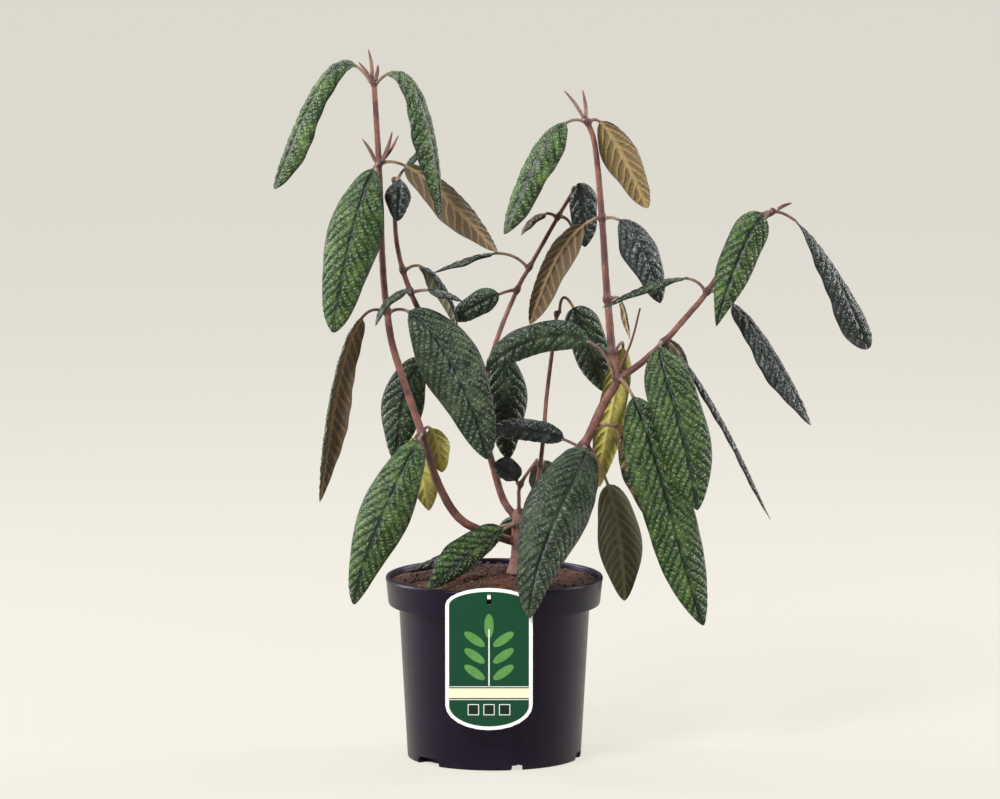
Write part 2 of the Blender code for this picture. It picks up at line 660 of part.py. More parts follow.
    spray("trunk_leaves", green, trunk, [
        knot(trunk, 0.205, green),
        grow(trunk, 0.205, bearing=-133, reach=0.116, drop=0.043, width=0.036, lift=-5, stiff=0.22,
             slack=0.22, hang=-25, face=-62),
        grow(trunk, 0.205, bearing=-172, reach=0.103, drop=0.040, width=0.026, lift=-10, hang=-15),
        grow(trunk, 0.205, bearing=95, reach=0.068, drop=0.024, width=0.036, lift=25, hang=-40),
    ], clear_of=[left, back, right, thin, twig])


def main():
    clear_scene()
    plastic = material("pot_plastic", (0.016, 0.012, 0.022), 0.38)
    peat = material("peat", (0.075, 0.030, 0.018), 0.95)
    card = material("label_card", (0.75, 0.80, 0.74), 0.45)
    strap = material("strap_plastic", (0.85, 0.85, 0.84), 0.40)
    bark = material("bark", (0.16, 0.075, 0.055), 0.70)
    green = material("leaf", (0.055, 0.115, 0.030), 0.55)
    pot(plastic)
    soil(peat)
    label(card)
    label_strap(strap)
    plant(bark, green)


main()
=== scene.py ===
import math

import bmesh
import bpy
import numpy as np
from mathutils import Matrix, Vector, noise


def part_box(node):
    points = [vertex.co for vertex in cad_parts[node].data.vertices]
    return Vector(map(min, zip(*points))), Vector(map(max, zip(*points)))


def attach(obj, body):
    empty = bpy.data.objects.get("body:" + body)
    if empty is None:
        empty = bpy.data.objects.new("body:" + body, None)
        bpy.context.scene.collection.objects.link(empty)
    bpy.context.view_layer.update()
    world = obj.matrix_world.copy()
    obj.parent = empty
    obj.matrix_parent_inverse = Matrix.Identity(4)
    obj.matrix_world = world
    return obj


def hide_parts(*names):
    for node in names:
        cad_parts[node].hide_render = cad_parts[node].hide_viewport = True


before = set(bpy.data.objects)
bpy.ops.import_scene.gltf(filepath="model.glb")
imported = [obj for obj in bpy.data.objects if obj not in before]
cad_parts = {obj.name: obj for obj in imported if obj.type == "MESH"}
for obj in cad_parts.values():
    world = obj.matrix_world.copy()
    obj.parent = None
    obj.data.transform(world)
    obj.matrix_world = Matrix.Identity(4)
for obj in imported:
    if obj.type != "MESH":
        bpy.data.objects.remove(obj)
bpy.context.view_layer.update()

# Camera: a long lens a little above the rim, looking slightly down on the plant from in front.
# It stands far off, so the pot's rim shows as a flat ellipse.
VIEW_MIDDLE = Vector((0.005, 0.0, 0.315))
VIEW_DISTANCE = 7.0
VIEW_RISE = math.radians(8.0)
back_off = Vector((0, -math.cos(VIEW_RISE), math.sin(VIEW_RISE))) * VIEW_DISTANCE
lens = bpy.data.cameras.new("camera")
lens.lens = 288.99
lens.sensor_width = 36.0
lens.clip_end = 60.0
camera = bpy.data.objects.new("camera", lens)
camera.location = VIEW_MIDDLE + back_off
camera.rotation_euler = (-back_off).to_track_quat("-Z", "Y").to_euler()
bpy.context.scene.collection.objects.link(camera)
bpy.context.scene.camera = camera


# Nursery pot: thin injection-moulded polypropylene, dark purple-black with a satin skin.
# A deep band stiffens the rim, and four notches round the foot let water drain.
class Value:
    """A number that varies over a surface, which Python's arithmetic turns into Math nodes."""

    def __init__(self, coat, socket):
        self.coat = coat
        self.socket = socket

    def maths(self, operation, first, second=0.0):
        made = self.coat.node("Math", {"operation": operation}, {0: first, 1: second})
        return Value(self.coat, made.outputs[0])

    def __add__(self, other):
        return self.maths("ADD", self, other)

    def __sub__(self, other):
        return self.maths("SUBTRACT", self, other)

    def __rsub__(self, other):
        return self.maths("SUBTRACT", other, self)

    def __mul__(self, other):
        return self.maths("MULTIPLY", self, other)

    def __truediv__(self, other):
        return self.maths("DIVIDE", self, other)

    def __pow__(self, other):
        return self.maths("POWER", self, other)

    def __lt__(self, other):
        return self.maths("LESS_THAN", self, other)

    def __gt__(self, other):
        return self.maths("GREATER_THAN", self, other)

    def __abs__(self):
        return self.maths("ABSOLUTE", self)

    __radd__ = __add__
    __rmul__ = __mul__


class Coat:
    """A finish: one Principled shader, and the nodes that vary it."""

    def __init__(self, name, **uniform):
        self.material = bpy.data.materials.new(name)
        self.material.use_nodes = True
        self.tree = self.material.node_tree
        self.shader = self.tree.nodes["Principled BSDF"]
        for socket, value in uniform.items():
            self.shader.inputs[socket.replace("_", " ")].default_value = value

    def feed(self, target, value):
        if isinstance(value, Value):
            self.tree.links.new(value.socket, target)
        else:
            target.default_value = value

    def node(self, kind, settings=None, sockets=None):
        """A node of a type, with its settings first and then its sockets' values or links."""
        made = self.tree.nodes.new("ShaderNode" + kind)
        for name, value in (settings or {}).items():
            setattr(made, name, value)
        for key, value in (sockets or {}).items():
            self.feed(made.inputs[key], value)
        return made

    def place(self):
        return Value(self, self.node("TexCoord").outputs["Object"])

    def parts(self, vector):
        made = self.node("SeparateXYZ", sockets={0: vector})
        return [Value(self, socket) for socket in made.outputs]

    def mark(self, name):
        """A number that the mesh itself carries at each of its points."""
        made = self.node("Attribute", {"attribute_name": name})
        return Value(self, made.outputs["Fac"])

    def noise(self, scale, detail=3.0, rough=0.5, place=None):
        made = self.node("TexNoise", sockets={"Vector": place or self.place(), "Scale": scale,
                                              "Detail": detail, "Roughness": rough})
        return Value(self, made.outputs[0])

    def cells(self, scale):
        """The distance to the middle of the nearest of many small cells."""
        made = self.node("TexVoronoi", sockets={"Vector": self.place(), "Scale": scale})
        return Value(self, made.outputs["Distance"])

    def between(self, value, low, high):
        """A smooth step from 0 to 1 as the value goes from low to high."""
        made = self.node("MapRange", {"interpolation_type": "SMOOTHSTEP"}, {0: value, 1: low, 2: high})
        return Value(self, made.outputs[0])

    def mix(self, share, first, second):
        made = self.node("Mix", {"data_type": "RGBA"}, {0: share, 6: first, 7: second})
        return Value(self, made.outputs[2])

    def finish(self, colour, roughness, height, depth):
        """Ties up the shader: height, from 0 to 1 or so, stands out by depth in metres."""
        self.feed(self.shader.inputs["Base Color"], colour)
        self.feed(self.shader.inputs["Roughness"], roughness)
        bump = self.node("Bump", sockets={"Height": height, "Distance": depth})
        self.tree.links.new(bump.outputs[0], self.shader.inputs["Normal"])
        return self.material


class Shell:
    """A mesh of closed tubes, with numbers kept at its points."""

    def __init__(self):
        self.points, self.faces, self.skins, self.marks = [], [], [], {}
        self.count = 0

    def tube(self, rings, skins=0, **marks):
        """Adds a tube through rings of as many points each, its ends filled.

        skins is the material's place in the piece's list, or a list with one for each face.
        """
        rings = np.asarray(rings, float)
        stations, around = rings.shape[:2]
        faces = []
        for k in range(stations - 1):
            a, b = self.count + k * around, self.count + (k + 1) * around
            faces += [(a + n, a + (n + 1) % around, b + (n + 1) % around, b + n) for n in range(around)]
        first, last = self.count, self.count + (stations - 1) * around
        faces += [tuple(range(first + around - 1, first - 1, -1)), tuple(range(last, last + around))]
        self.points.append(rings.reshape(-1, 3))
        self.faces += faces
        self.skins += skins if isinstance(skins, list) else [skins] * len(faces)
        for name, values in marks.items():
            self.marks.setdefault(name, []).append(np.broadcast_to(values, stations * around))
        self.count += stations * around

    def made(self, name, materials, slot, replaced=()):
        """The finished piece, in the scene and on the plant's one body."""
        mesh = bpy.data.meshes.new(name)
        mesh.from_pydata(np.concatenate(self.points).tolist(), [], self.faces)
        for material in materials:
            mesh.materials.append(material)
        mesh.polygons.foreach_set("material_index", np.array(self.skins, np.int32))
        for mark, values in self.marks.items():
            kept = mesh.attributes.new(mark, "FLOAT", "POINT")
            kept.data.foreach_set("value", np.concatenate(values).astype(np.float32))
        mesh.shade_smooth()
        piece = bpy.data.objects.new(name, mesh)
        bpy.context.scene.collection.objects.link(piece)
        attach(piece, "root")
        if replaced:
            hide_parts(*replaced)
        return piece


def turned(profile, sides):
    """Rings of points for a closed profile that is turned about the pot's axis."""
    angles = np.arange(sides) * 2 * math.pi / sides
    circle = np.stack([np.cos(angles), np.sin(angles)], axis=1)
    return np.array([[(r * x, r * y, z) for x, y in circle] for r, z in profile])


POT_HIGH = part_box("pot")[1]
RIM_RADIUS = POT_HIGH.x
POT_HEIGHT = POT_HIGH.z
BAND_HEIGHT = 0.15 * POT_HEIGHT
BAND_FOOT = POT_HEIGHT - BAND_HEIGHT
BAND_FOOT_RADIUS = RIM_RADIUS - 0.0023
NECK_RADIUS = RIM_RADIUS - 0.0117
FOOT_RADIUS = 0.8 * RIM_RADIUS
POT_WALL = 0.0016
POT_FLOOR = 0.0030
NOTCHES = 4
FIRST_NOTCH = -50
NOTCH_SIZE = (0.020, 0.028, 0.013)
NOTCH_ROUNDING = 0.0022
SEAM_PLACE = -0.0335


def bare_pot():
    """The pot as one closed turned skin, with its drain notches cut from the foot."""
    profile = [
        (0.0002, 0.0), (FOOT_RADIUS - 0.0014, 0.0), (FOOT_RADIUS - 0.0004, 0.0004),
        (FOOT_RADIUS, 0.0014), (NECK_RADIUS, BAND_FOOT - 0.0032), (NECK_RADIUS + 0.0004, BAND_FOOT - 0.0022),
        (NECK_RADIUS + 0.0014, BAND_FOOT - 0.0016), (BAND_FOOT_RADIUS - 0.0020, BAND_FOOT - 0.0013),
        (BAND_FOOT_RADIUS - 0.0006, BAND_FOOT - 0.0005), (BAND_FOOT_RADIUS, BAND_FOOT + 0.0010),
        (RIM_RADIUS - 0.0004, POT_HEIGHT - 0.0046), (RIM_RADIUS, POT_HEIGHT - 0.0034),
        (RIM_RADIUS, POT_HEIGHT - 0.0016), (RIM_RADIUS - 0.0005, POT_HEIGHT - 0.0005),
        (RIM_RADIUS - 0.0014, POT_HEIGHT), (RIM_RADIUS - 0.0024, POT_HEIGHT),
        (RIM_RADIUS - 0.0031, POT_HEIGHT - 0.0006), (RIM_RADIUS - 0.0034, POT_HEIGHT - 0.0018),
        (BAND_FOOT_RADIUS - POT_WALL, BAND_FOOT + 0.0010), (NECK_RADIUS - POT_WALL, BAND_FOOT - 0.0030),
        (FOOT_RADIUS - POT_WALL, POT_FLOOR), (0.0002, POT_FLOOR)]
    shell = Shell()
    shell.tube(turned(profile, 160))
    pot = shell.made("pot_shell", [], "pot_plastic", ["pot"])
    bm = bmesh.new()
    for k in range(NOTCHES):
        corners = bmesh.ops.create_cube(bm, size=1.0)["verts"]
        bmesh.ops.scale(bm, verts=corners, vec=NOTCH_SIZE)
        edges = list(dict.fromkeys(e for v in corners for e in v.link_edges))
        bmesh.ops.bevel(bm, geom=edges, offset=NOTCH_ROUNDING, segments=3, affect="EDGES")
        bearing = math.radians(360 / NOTCHES * k + FIRST_NOTCH)
        turn = Vector((math.cos(bearing), math.sin(bearing)))
        for v in bm.verts:
            if not v.tag:
                x, y = v.co.x + FOOT_RADIUS - 0.002, v.co.y
                v.co.x, v.co.y = x * turn.x - y * turn.y, x * turn.y + y * turn.x
                v.tag = True
    notches = bpy.data.objects.new("notches", bpy.data.meshes.new("notches"))
    bm.to_mesh(notches.data)
    bm.free()
    bpy.context.scene.collection.objects.link(notches)
    cut = pot.modifiers.new("notches", "BOOLEAN")
    cut.object = notches
    kept = bpy.data.meshes.new_from_object(pot.evaluated_get(bpy.context.evaluated_depsgraph_get()))
    pot.modifiers.clear()
    pot.data = kept
    bpy.data.objects.remove(notches)
    kept.shade_smooth()
    kept.set_sharp_from_angle(angle=math.radians(38))
    return pot


def pot_plastic():
    """Near-black plastic, with a moulding seam, painted light on the inside of the back wall and dried
    splashes at the foot.
    """
    coat = Coat("pot_plastic", IOR=1.5, Specular_IOR_Level=0.22, Specular_Tint=(0.80, 0.70, 1.0, 1))
    x, y, z = coat.parts(coat.place())
    dust = coat.noise(38, 6, 0.65)
    splash = coat.between(z + 0.03 * dust, 0.030, 0.006) * coat.between(dust, 0.42, 0.62)
    rub = coat.between(coat.noise(210, 2), 0.60, 0.72)
    seam = coat.between(abs(x - SEAM_PLACE), 0.0011, 0.0003) * (y < 0.0)
    base = coat.mix(coat.noise(9, 3), (0.0030, 0.0016, 0.0062, 1), (0.0062, 0.0036, 0.0118, 1))
    # Painted light: the upper back half, whose inside faces the front lamps, is made paler toward the rim.
    inner = coat.between(z, BAND_FOOT, POT_HEIGHT) * (y > 0.0)
    base = coat.mix(inner * 0.6, base, (0.020, 0.014, 0.040, 1))
    base = coat.mix(splash * 0.25, base, (0.070, 0.045, 0.034, 1))
    grain = coat.noise(1400, 2)
    height = grain * 0.3 + coat.noise(120, 4) * 0.7 + seam * 2.0
    rough = 0.30 + 0.10 * dust + 0.25 * splash + 0.06 * rub
    return coat.finish(base, rough, height, 0.00008)


bare_pot().data.materials.append(pot_plastic())


# Root ball: moist reddish-brown peat, heaped a little round the stems and crumbly on top.
# Loose crumbs and short fibres lie on it. It fills the pot to just under the rim.
SOIL_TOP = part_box("soil")[1].z
SOIL_EDGE = SOIL_TOP - 0.0085
SOIL_EDGE_RADIUS = RIM_RADIUS - 0.0040
SOIL_LUMP = 0.0016
PEAT_DEPTH = 0.012
CRUMBS = 900
FIBRE_SHARE = 0.25


def soil_height(x, y):
    """The heap's height at a place, its lumps fading out against the pot's wall."""
    r = math.hypot(x, y) / SOIL_EDGE_RADIUS
    heap = SOIL_EDGE + (SOIL_TOP - 0.0015 - SOIL_EDGE) * (1 - r**2)
    lumps = noise.fractal(Vector((x, y, 0)) * 90, 0.6, 2.1, 6) * SOIL_LUMP
    return heap + lumps * (1 - r**12)


def peat():
    """Peat, pale where it has dried and specked with light fibres."""
    coat = Coat("peat", IOR=1.4)
    crumbs = coat.cells(420)
    damp = coat.noise(60, 6, 0.7)
    colour = coat.mix(coat.between(damp, 0.35, 0.65), (0.012, 0.0045, 0.0028, 1), (0.080, 0.027, 0.014, 1))
    colour = coat.mix(coat.between(coat.noise(900, 2), 0.58, 0.70) * 0.7, colour, (0.26, 0.130, 0.075, 1))
    return coat.finish(colour, 0.75 + 0.25 * damp, crumbs + coat.noise(700, 4, 0.7), 0.0008)


def heap():
    """The peat's top, closed a little way down inside the pot."""
    shell = Shell()
    around, steps = 220, 64
    angles = np.arange(around) * 2 * math.pi / around
    rings = []
    for share in np.linspace(0.004, 1.0, steps):
        r = SOIL_EDGE_RADIUS * share
        rings.append([(r * math.cos(a), r * math.sin(a), soil_height(r * math.cos(a), r * math.sin(a)))
                      for a in angles])
    r = NECK_RADIUS - POT_WALL
    rings.append([(r * math.cos(a), r * math.sin(a), SOIL_EDGE - PEAT_DEPTH) for a in angles])
    shell.tube(rings[::-1])
    shell.made("peat_heap", [peat()], "peat", ["soil"])


def crumbs():
    """Loose crumbs of peat and short bent fibres, strewn over the heap.

    They wear the CAD soil's own plain brown, which holds the name peat. The heap's finish is another.
    """
    rng = np.random.default_rng(7)
    shell = Shell()
    for _ in range(CRUMBS):
        r, turn = SOIL_EDGE_RADIUS * 0.97 * math.sqrt(rng.random()), rng.random() * 2 * math.pi
        x, y = r * math.cos(turn), r * math.sin(turn)
        size = 0.0007 + 0.0022 * rng.random() ** 3
        fibre = rng.random() < FIBRE_SHARE
        ahead = Vector(rng.normal(size=3))
        ahead.z *= 0.3 if fibre else 1.0
        ahead.normalize()
        side = ahead.orthogonal().normalized()
        across = ahead.cross(side)
        length = size * (6 if fibre else 1.2)
        thick = 0.00035 if fibre else size * 0.6
        centre = Vector((x, y, soil_height(x, y) + thick * 0.6))
        rings = []
        for share, swell in ((-0.5, 0.35), (-0.25, 0.9), (0.2, 1.0), (0.5, 0.4)):
            bend = side * length * 0.18 * (1 - 4 * share * share) * fibre
            middle = centre + ahead * length * share + bend
            rings.append([middle + (side * math.cos(a) + across * math.sin(a)) * thick * swell
                          * (0.75 + 0.5 * rng.random()) for a in np.arange(6) * math.pi / 3])
        shell.tube(rings)
    plain_brown = bpy.data.materials["peat"]
    shell.made("peat_crumbs", [plain_brown], "peat")


heap()
crumbs()


# Hanging label: printed and varnished card-weight plastic with an arched head and foot.
# It hangs on a thin moulded strap that passes through its slot and hooks over the pot's rim.
LABEL_LOW, LABEL_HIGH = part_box("label")


def label_print():
    """A plain plant label: white edge, green ground, a drawn sprig, a cream band and empty boxes."""
    coat = Coat("label_card", Specular_IOR_Level=0.25)
    x, y, z = coat.parts(coat.place())
    middle, half = (LABEL_LOW[0] + LABEL_HIGH[0]) / 2, (LABEL_HIGH[0] - LABEL_LOW[0]) / 2
    across = abs(x - middle)
    line, edge = 0.0004, 0.0032
    head_rise, foot_rise = 0.015, 0.022
    white, cream = (0.78, 0.80, 0.76, 1), (0.78, 0.70, 0.50, 1)
    green, dark_green = (0.001, 0.045, 0.018, 1), (0.001, 0.016, 0.009, 1)

    def inside(distance, limit=0.0, soft=line):
        """1 where the distance is under its limit and 0 past it, with a soft line between."""
        return coat.between(distance, limit + soft / 2, limit - soft / 2)

    def either(first, second):
        return first.maths("MAXIMUM", first, second)

    def oval(out, up, half_wide, half_tall, lean=0.0):
        """Below nought inside an oval, which leans outward by an angle."""
        out, up = across - out, z - up
        wide = (out * math.cos(lean) + up * math.sin(lean)) / half_wide
        tall = (up * math.cos(lean) - out * math.sin(lean)) / half_tall
        return (wide * wide + tall * tall) ** 0.5 - 1.0

    head, foot = LABEL_HIGH[2] - head_rise, LABEL_LOW[2] + foot_rise
    ground = inside(across, half - edge) * inside(abs(z - (head + foot) / 2), (head - foot) / 2)
    for centre, rise in ((head, head_rise), (foot, foot_rise)):
        ground = either(ground, inside(oval(0, centre, half - edge, rise - edge), soft=0.02))
    colour = coat.mix(ground, white, green)

    sprig_foot, leaf_gap, leaf_length = foot + 0.020, 0.0145, 0.0105
    sprig = inside(oval(0, sprig_foot + 3.4 * leaf_gap, 0.0040, leaf_length), soft=0.06)
    for k in range(3):
        leaf_place = sprig_foot + (k + 0.6) * leaf_gap
        shape = oval(0.0125, leaf_place, leaf_length, 0.0038, lean=math.radians(35))
        sprig = either(sprig, inside(shape, soft=0.06))
    ink = coat.mix(coat.noise(260, 3), (0.050, 0.170, 0.040, 1), (0.120, 0.290, 0.075, 1))
    colour = coat.mix(sprig, colour, ink)
    stalk_middle, stalk_half = sprig_foot + 1.5 * leaf_gap, 1.7 * leaf_gap
    stalk = inside(across, 0.0005) * inside(abs(z - stalk_middle), stalk_half)
    colour = coat.mix(stalk, colour, white)

    band_place, band_half = foot + 0.0105, 0.0042
    from_band = abs(z - band_place)
    colour = coat.mix(inside(from_band, band_half) * ground, colour, cream)
    ruled = inside(abs(from_band - (band_half + 0.0014)), 0.0003) * ground
    colour = coat.mix(ruled, colour, white)

    box_half, box_gap, box_place = 0.0042, 0.0135, foot - 0.0040
    from_box = either(abs(abs(across - box_gap / 2) - box_gap / 2), abs(z - box_place))
    colour = coat.mix(inside(from_box, box_half + 0.0006), colour, white)
    colour = coat.mix(inside(from_box, box_half), colour, dark_green)
    colour = coat.mix(y > (LABEL_LOW[1] + LABEL_HIGH[1]) / 2, colour, white)
    rough = 0.28 + 0.08 * coat.noise(300, 2)
    return coat.finish(colour, rough, ground * 0.2 + coat.noise(500, 2) * 0.2, 0.00005)


def strap_plastic():
    """Plain white moulded plastic."""
    coat = Coat("strap_plastic", IOR=1.48)
    colour = coat.mix(coat.noise(240, 3), (0.74, 0.74, 0.72, 1), (0.86, 0.86, 0.84, 1))
    return coat.finish(colour, 0.34 + 0.12 * coat.noise(500, 3), coat.noise(900, 2), 0.00005)


for name, finish in (("label", label_print()), ("label_strap", strap_plastic())):
    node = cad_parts[name]
    node.data.materials.clear()
    node.data.materials.append(finish)


# Stems: living wood one to two years old, reddish brown and near purple at the nodes. Fine ridges
# run along them, with pale pores and a ring scar at each pair of leaves. All grow from one trunk.
KNOT_WALL = 0.0016
KNOT_REACH = 0.0030
SCAR_DROP = 0.0042
SCAR_REACH = 0.0007
SCAR_DEPTH = 0.0003
FLARE_REACH = 0.008
RING_STEP = 0.0011


def bark():
    """Bark streaked along the stem, darker where the mesh is marked as a node."""
    coat = Coat("bark", IOR=1.45)
    x, y, z = coat.parts(coat.place())
    drawn_out = coat.node("CombineXYZ", sockets={0: x * 3.0, 1: y * 3.0, 2: z * 0.5})
    fibres = coat.noise(420, 4, 0.6, Value(coat, drawn_out.outputs[0]))
    blotch = coat.noise(55, 4, 0.6)
    pores = coat.between(coat.cells(520), 0.20, 0.08)
    node = coat.mark("node")
    colour = coat.mix(coat.between(blotch, 0.35, 0.62), (0.085, 0.031, 0.027, 1), (0.205, 0.090, 0.064, 1))
    colour = coat.mix(coat.between(fibres, 0.45, 0.70) * 0.6, colour, (0.045, 0.016, 0.018, 1))
    colour = coat.mix(node * 0.85, colour, (0.040, 0.014, 0.018, 1))
    colour = coat.mix(pores * 0.7, colour, (0.42, 0.27, 0.19, 1))
    return coat.finish(colour, 0.50 + 0.25 * fibres, fibres + pores * 0.8, 0.00045)


BARK = bark()


def direction(bearing, pitch):
    """The unit vector at a bearing and a pitch in degrees, 0 being right and 90 away."""
    turn, rise = math.radians(bearing), math.radians(pitch)
    return Vector((math.cos(rise) * math.cos(turn), math.cos(rise) * math.sin(turn), math.sin(rise)))


class Stem:
    """A tapering limb along a smooth line through listed places, swollen at its leaf nodes."""

    def __init__(self, name, route, foot_radius, tip_radius, knots=(), flare=0.0, sides=20):
        self.name, self.knots = name, knots
        ends = [2 * Vector(route[0]) - Vector(route[1]), 2 * Vector(route[-1]) - Vector(route[-2])]
        places = [ends[0], *map(Vector, route), ends[1]]
        self.line = []
        for a, b, c, d in zip(places, places[1:], places[2:], places[3:]):
            steps = max(2, round((c - b).length / RING_STEP))
            for k in range(steps):
                t = k / steps
                inward, outward = (c - a) / 2, (d - b) / 2
                self.line.append((2 * t**3 - 3 * t**2 + 1) * b + (t**3 - 2 * t**2 + t) * inward
                                 + (3 * t**2 - 2 * t**3) * c + (t**3 - t**2) * outward)
        self.line.append(Vector(route[-1]))
        runs = np.cumsum([0] + [(q - p).length for p, q in zip(self.line, self.line[1:])])
        self.radii = foot_radius + (tip_radius - foot_radius) * runs / runs[-1]
        self.radii = self.radii + flare * np.exp(-runs / FLARE_REACH)
        self.clothe(runs, sides)

    def at(self, height):
        """The middle and the radius of the stem at a height."""
        for k, (p, q) in enumerate(zip(self.line, self.line[1:])):
            if height <= q.z or k == len(self.line) - 2:
                t = (height - p.z) / (q.z - p.z)
                return p + (q - p) * t, self.radii[k]

    def clothe(self, runs, sides):
        """The bark's mesh: ridged and lumpy rings, swollen at each node with a scar under it."""
        side = (self.line[1] - self.line[0]).orthogonal().normalized()
        rings, marks = [], []
        seed = sum(map(ord, self.name))
        for k, p in enumerate(self.line):
            ahead = (self.line[min(k + 1, len(self.line) - 1)] - self.line[max(k - 1, 0)]).normalized()
            side = (side - ahead * side.dot(ahead)).normalized()
            across = ahead.cross(side)
            node = sum(math.exp(-((p.z - h) / KNOT_REACH) ** 2) for h in self.knots)
            scar = sum(math.exp(-((p.z - h + SCAR_DROP) / SCAR_REACH) ** 2) for h in self.knots)
            ring = []
            for n in range(sides):
                angle = 2 * math.pi * n / sides
                spoke = side * math.cos(angle) + across * math.sin(angle)
                ridge = 0.035 * math.sin(5 * angle + seed + 40 * runs[k])
                ridge += 0.02 * math.sin(11 * angle + seed)
                lump = 0.09 * noise.noise((p + spoke * 0.01) * 160)
                radius = self.radii[k] * (1 + ridge + lump)
                radius += KNOT_WALL * 0.75 * min(node, 1) - SCAR_DEPTH * scar
                ring.append(p + spoke * radius)
            rings.append(ring)
            marks.append([min(node, 1)] * sides)
        end = (self.line[-1] - self.line[-2]).normalized()
        for share in (0.6, 0.9, 1.0):
            shrink = math.sqrt(1 - share * share * 0.96)
            centre = self.line[-1] + end * self.radii[-1] * share
            rings.append([centre + (q - self.line[-1]) * shrink for q in rings[len(self.line) - 1]])
            marks.append(marks[-1])
        shell = Shell()
        shell.tube(rings, node=np.array(marks).ravel())
        shell.made(self.name + "_bark", [BARK], "bark", [self.name])


trunk = Stem("trunk", [(0.022, 0.003, 0.1615), (0.022, 0.003, 0.190), (0.022, 0.002, 0.213)],
             0.0080, 0.0060, knots=(0.205,), flare=0.004, sides=36)
left = Stem("left_stem", [
    (0.021, 0.002, 0.188), (-0.014, -0.005, 0.201), (-0.034, -0.012, 0.216), (-0.050, -0.020, 0.247),
    (-0.062, -0.024, 0.286), (-0.086, -0.022, 0.357), (-0.093, -0.020, 0.395), (-0.097, -0.018, 0.440),
    (-0.100, -0.015, 0.524), (-0.104, -0.015, 0.595)], 0.0038, 0.0023, (0.288, 0.395, 0.524, 0.594))
back = Stem("back_stem", [
    (0.021, 0.004, 0.208), (0.008, 0.010, 0.225), (-0.002, 0.012, 0.258), (-0.011, 0.015, 0.286),
    (-0.028, 0.014, 0.321), (-0.049, 0.008, 0.361), (-0.073, -0.002, 0.410), (-0.085, -0.004, 0.455),
    (-0.0865, -0.003, 0.509)], 0.0033, 0.0018, (0.352, 0.410, 0.429, 0.508))
right = Stem("right_stem", [
    (0.023, 0.004, 0.206), (0.037, 0.015, 0.226), (0.058, 0.020, 0.250), (0.078, 0.020, 0.271),
    (0.095, 0.020, 0.307), (0.108, 0.020, 0.331), (0.103, 0.022, 0.354), (0.098, 0.026, 0.412),
    (0.094, 0.030, 0.471), (0.088, 0.033, 0.532), (0.081, 0.033, 0.556)], 0.0046, 0.0023,
    (0.271, 0.331, 0.354, 0.400, 0.471, 0.555))
centre = Stem("centre_stem", [
    (-0.011, 0.015, 0.286), (-0.010, 0.030, 0.315), (0.002, 0.045, 0.361), (0.020, 0.050, 0.405),
    (0.031, 0.052, 0.425), (0.056, 0.056, 0.469), (0.071, 0.058, 0.494)], 0.0024, 0.0016,
    (0.343, 0.405, 0.425, 0.469, 0.493))
branch = Stem("right_branch", [
    (0.106, 0.020, 0.329), (0.127, 0.015, 0.344), (0.148, 0.010, 0.364), (0.171, 0.006, 0.391),
    (0.186, 0.004, 0.410), (0.215, 0.000, 0.455), (0.243, 0.000, 0.481)], 0.0030, 0.0018,
    (0.364, 0.410, 0.480))
thin = Stem("thin_stem", [
    (0.024, 0.006, 0.206), (0.036, 0.028, 0.228), (0.043, 0.038, 0.274), (0.046, 0.040, 0.313),
    (0.055, 0.044, 0.386)], 0.0021, 0.0016, (0.252, 0.385))
twig = Stem("inner_twig", [
    (0.022, 0.000, 0.210), (0.0215, -0.006, 0.226), (0.023, -0.007, 0.241), (0.037, -0.008, 0.263)],
    0.0018, 0.0013, (0.241,))
Stem("dead_twig", [(0.1075, 0.018, 0.334), (0.120, 0.010, 0.366), (0.127, 0.006, 0.394)], 0.0013, 0.0008)


# Leaves: leathery blades with deeply sunk veins above and felted, ribbed undersides.
# Each hangs from a stout stalk in a pair at its node, its margins curled down.
UP = Vector((0, 0, 1))
PETIOLE_RADIUS = 0.0013
LEAF_SHAPE = 1.25
LEAF_SHEET = 0.00055
RELIEF = 0.0018
VEIN_STEP = 0.0100
VEIN_SLANT = 1.10
VEIN_BEND = 9
BEAD_STEP = 0.0028
MIDRIB_GROOVE = 0.0016
MIDRIB_HEIGHT = 0.0011
SIDE_RIB_HEIGHT = 0.0007
CELL = 0.00092


def leaf_upper(name, shaded_groove, crown, glint, roughness):
    """The upper skin: painted shade darkens the sunk veins, and painted highlights light the blistered
    crowns between them.
    """
    coat = Coat(name, IOR=1.48, Specular_IOR_Level=0.42)
    relief, age = coat.mark("relief"), coat.mark("age")
    mottle = coat.noise(70, 4, 0.6)
    pebble = coat.noise(950, 3, 0.6)
    blister = coat.between(coat.cells(430), 0.80, 0.15)
    # Painted shade: the sunk veins take the darker first colour, and the raised crowns the lighter one.
    colour = coat.mix(coat.between(relief * (0.60 + 0.60 * blister), 0.22, 0.95), shaded_groove, crown)
    # Painted highlight: the glint colour on the tallest blisters.
    colour = coat.mix(coat.between(relief * blister, 0.62, 0.92) * 0.55, colour, glint)
    # Painted sheen: random patches of the glint colour.
    colour = coat.mix(coat.between(mottle, 0.45, 0.75) * 0.45, colour, glint)
    colour = coat.mix(age * coat.between(mottle, 0.40, 0.62), colour, (0.140, 0.085, 0.028, 1))
    rough = roughness + 0.20 * pebble - 0.12 * relief
    return coat.finish(colour, rough, pebble * 0.30 + blister * relief * 0.8 + relief * 0.5, 0.00075)


def leaf_felt(name, sunk, rib, stain):
    """The underside: short woolly felt with raised tan ribs."""
    coat = Coat(name, IOR=1.40, Sheen_Weight=0.35, Sheen_Roughness=0.6)
    vein = coat.mark("vein")
    mottle = coat.noise(60, 4, 0.6)
    wool = coat.noise(1500, 3, 0.7)
    colour = coat.mix(coat.between(vein + 0.2 * wool, 0.15, 0.85), sunk, rib)
    colour = coat.mix(coat.between(mottle, 0.48, 0.72) * 0.6, colour, stain)
    return coat.finish(colour, 0.78 + 0.2 * wool, wool * 0.7 + vein * 0.6, 0.00045)


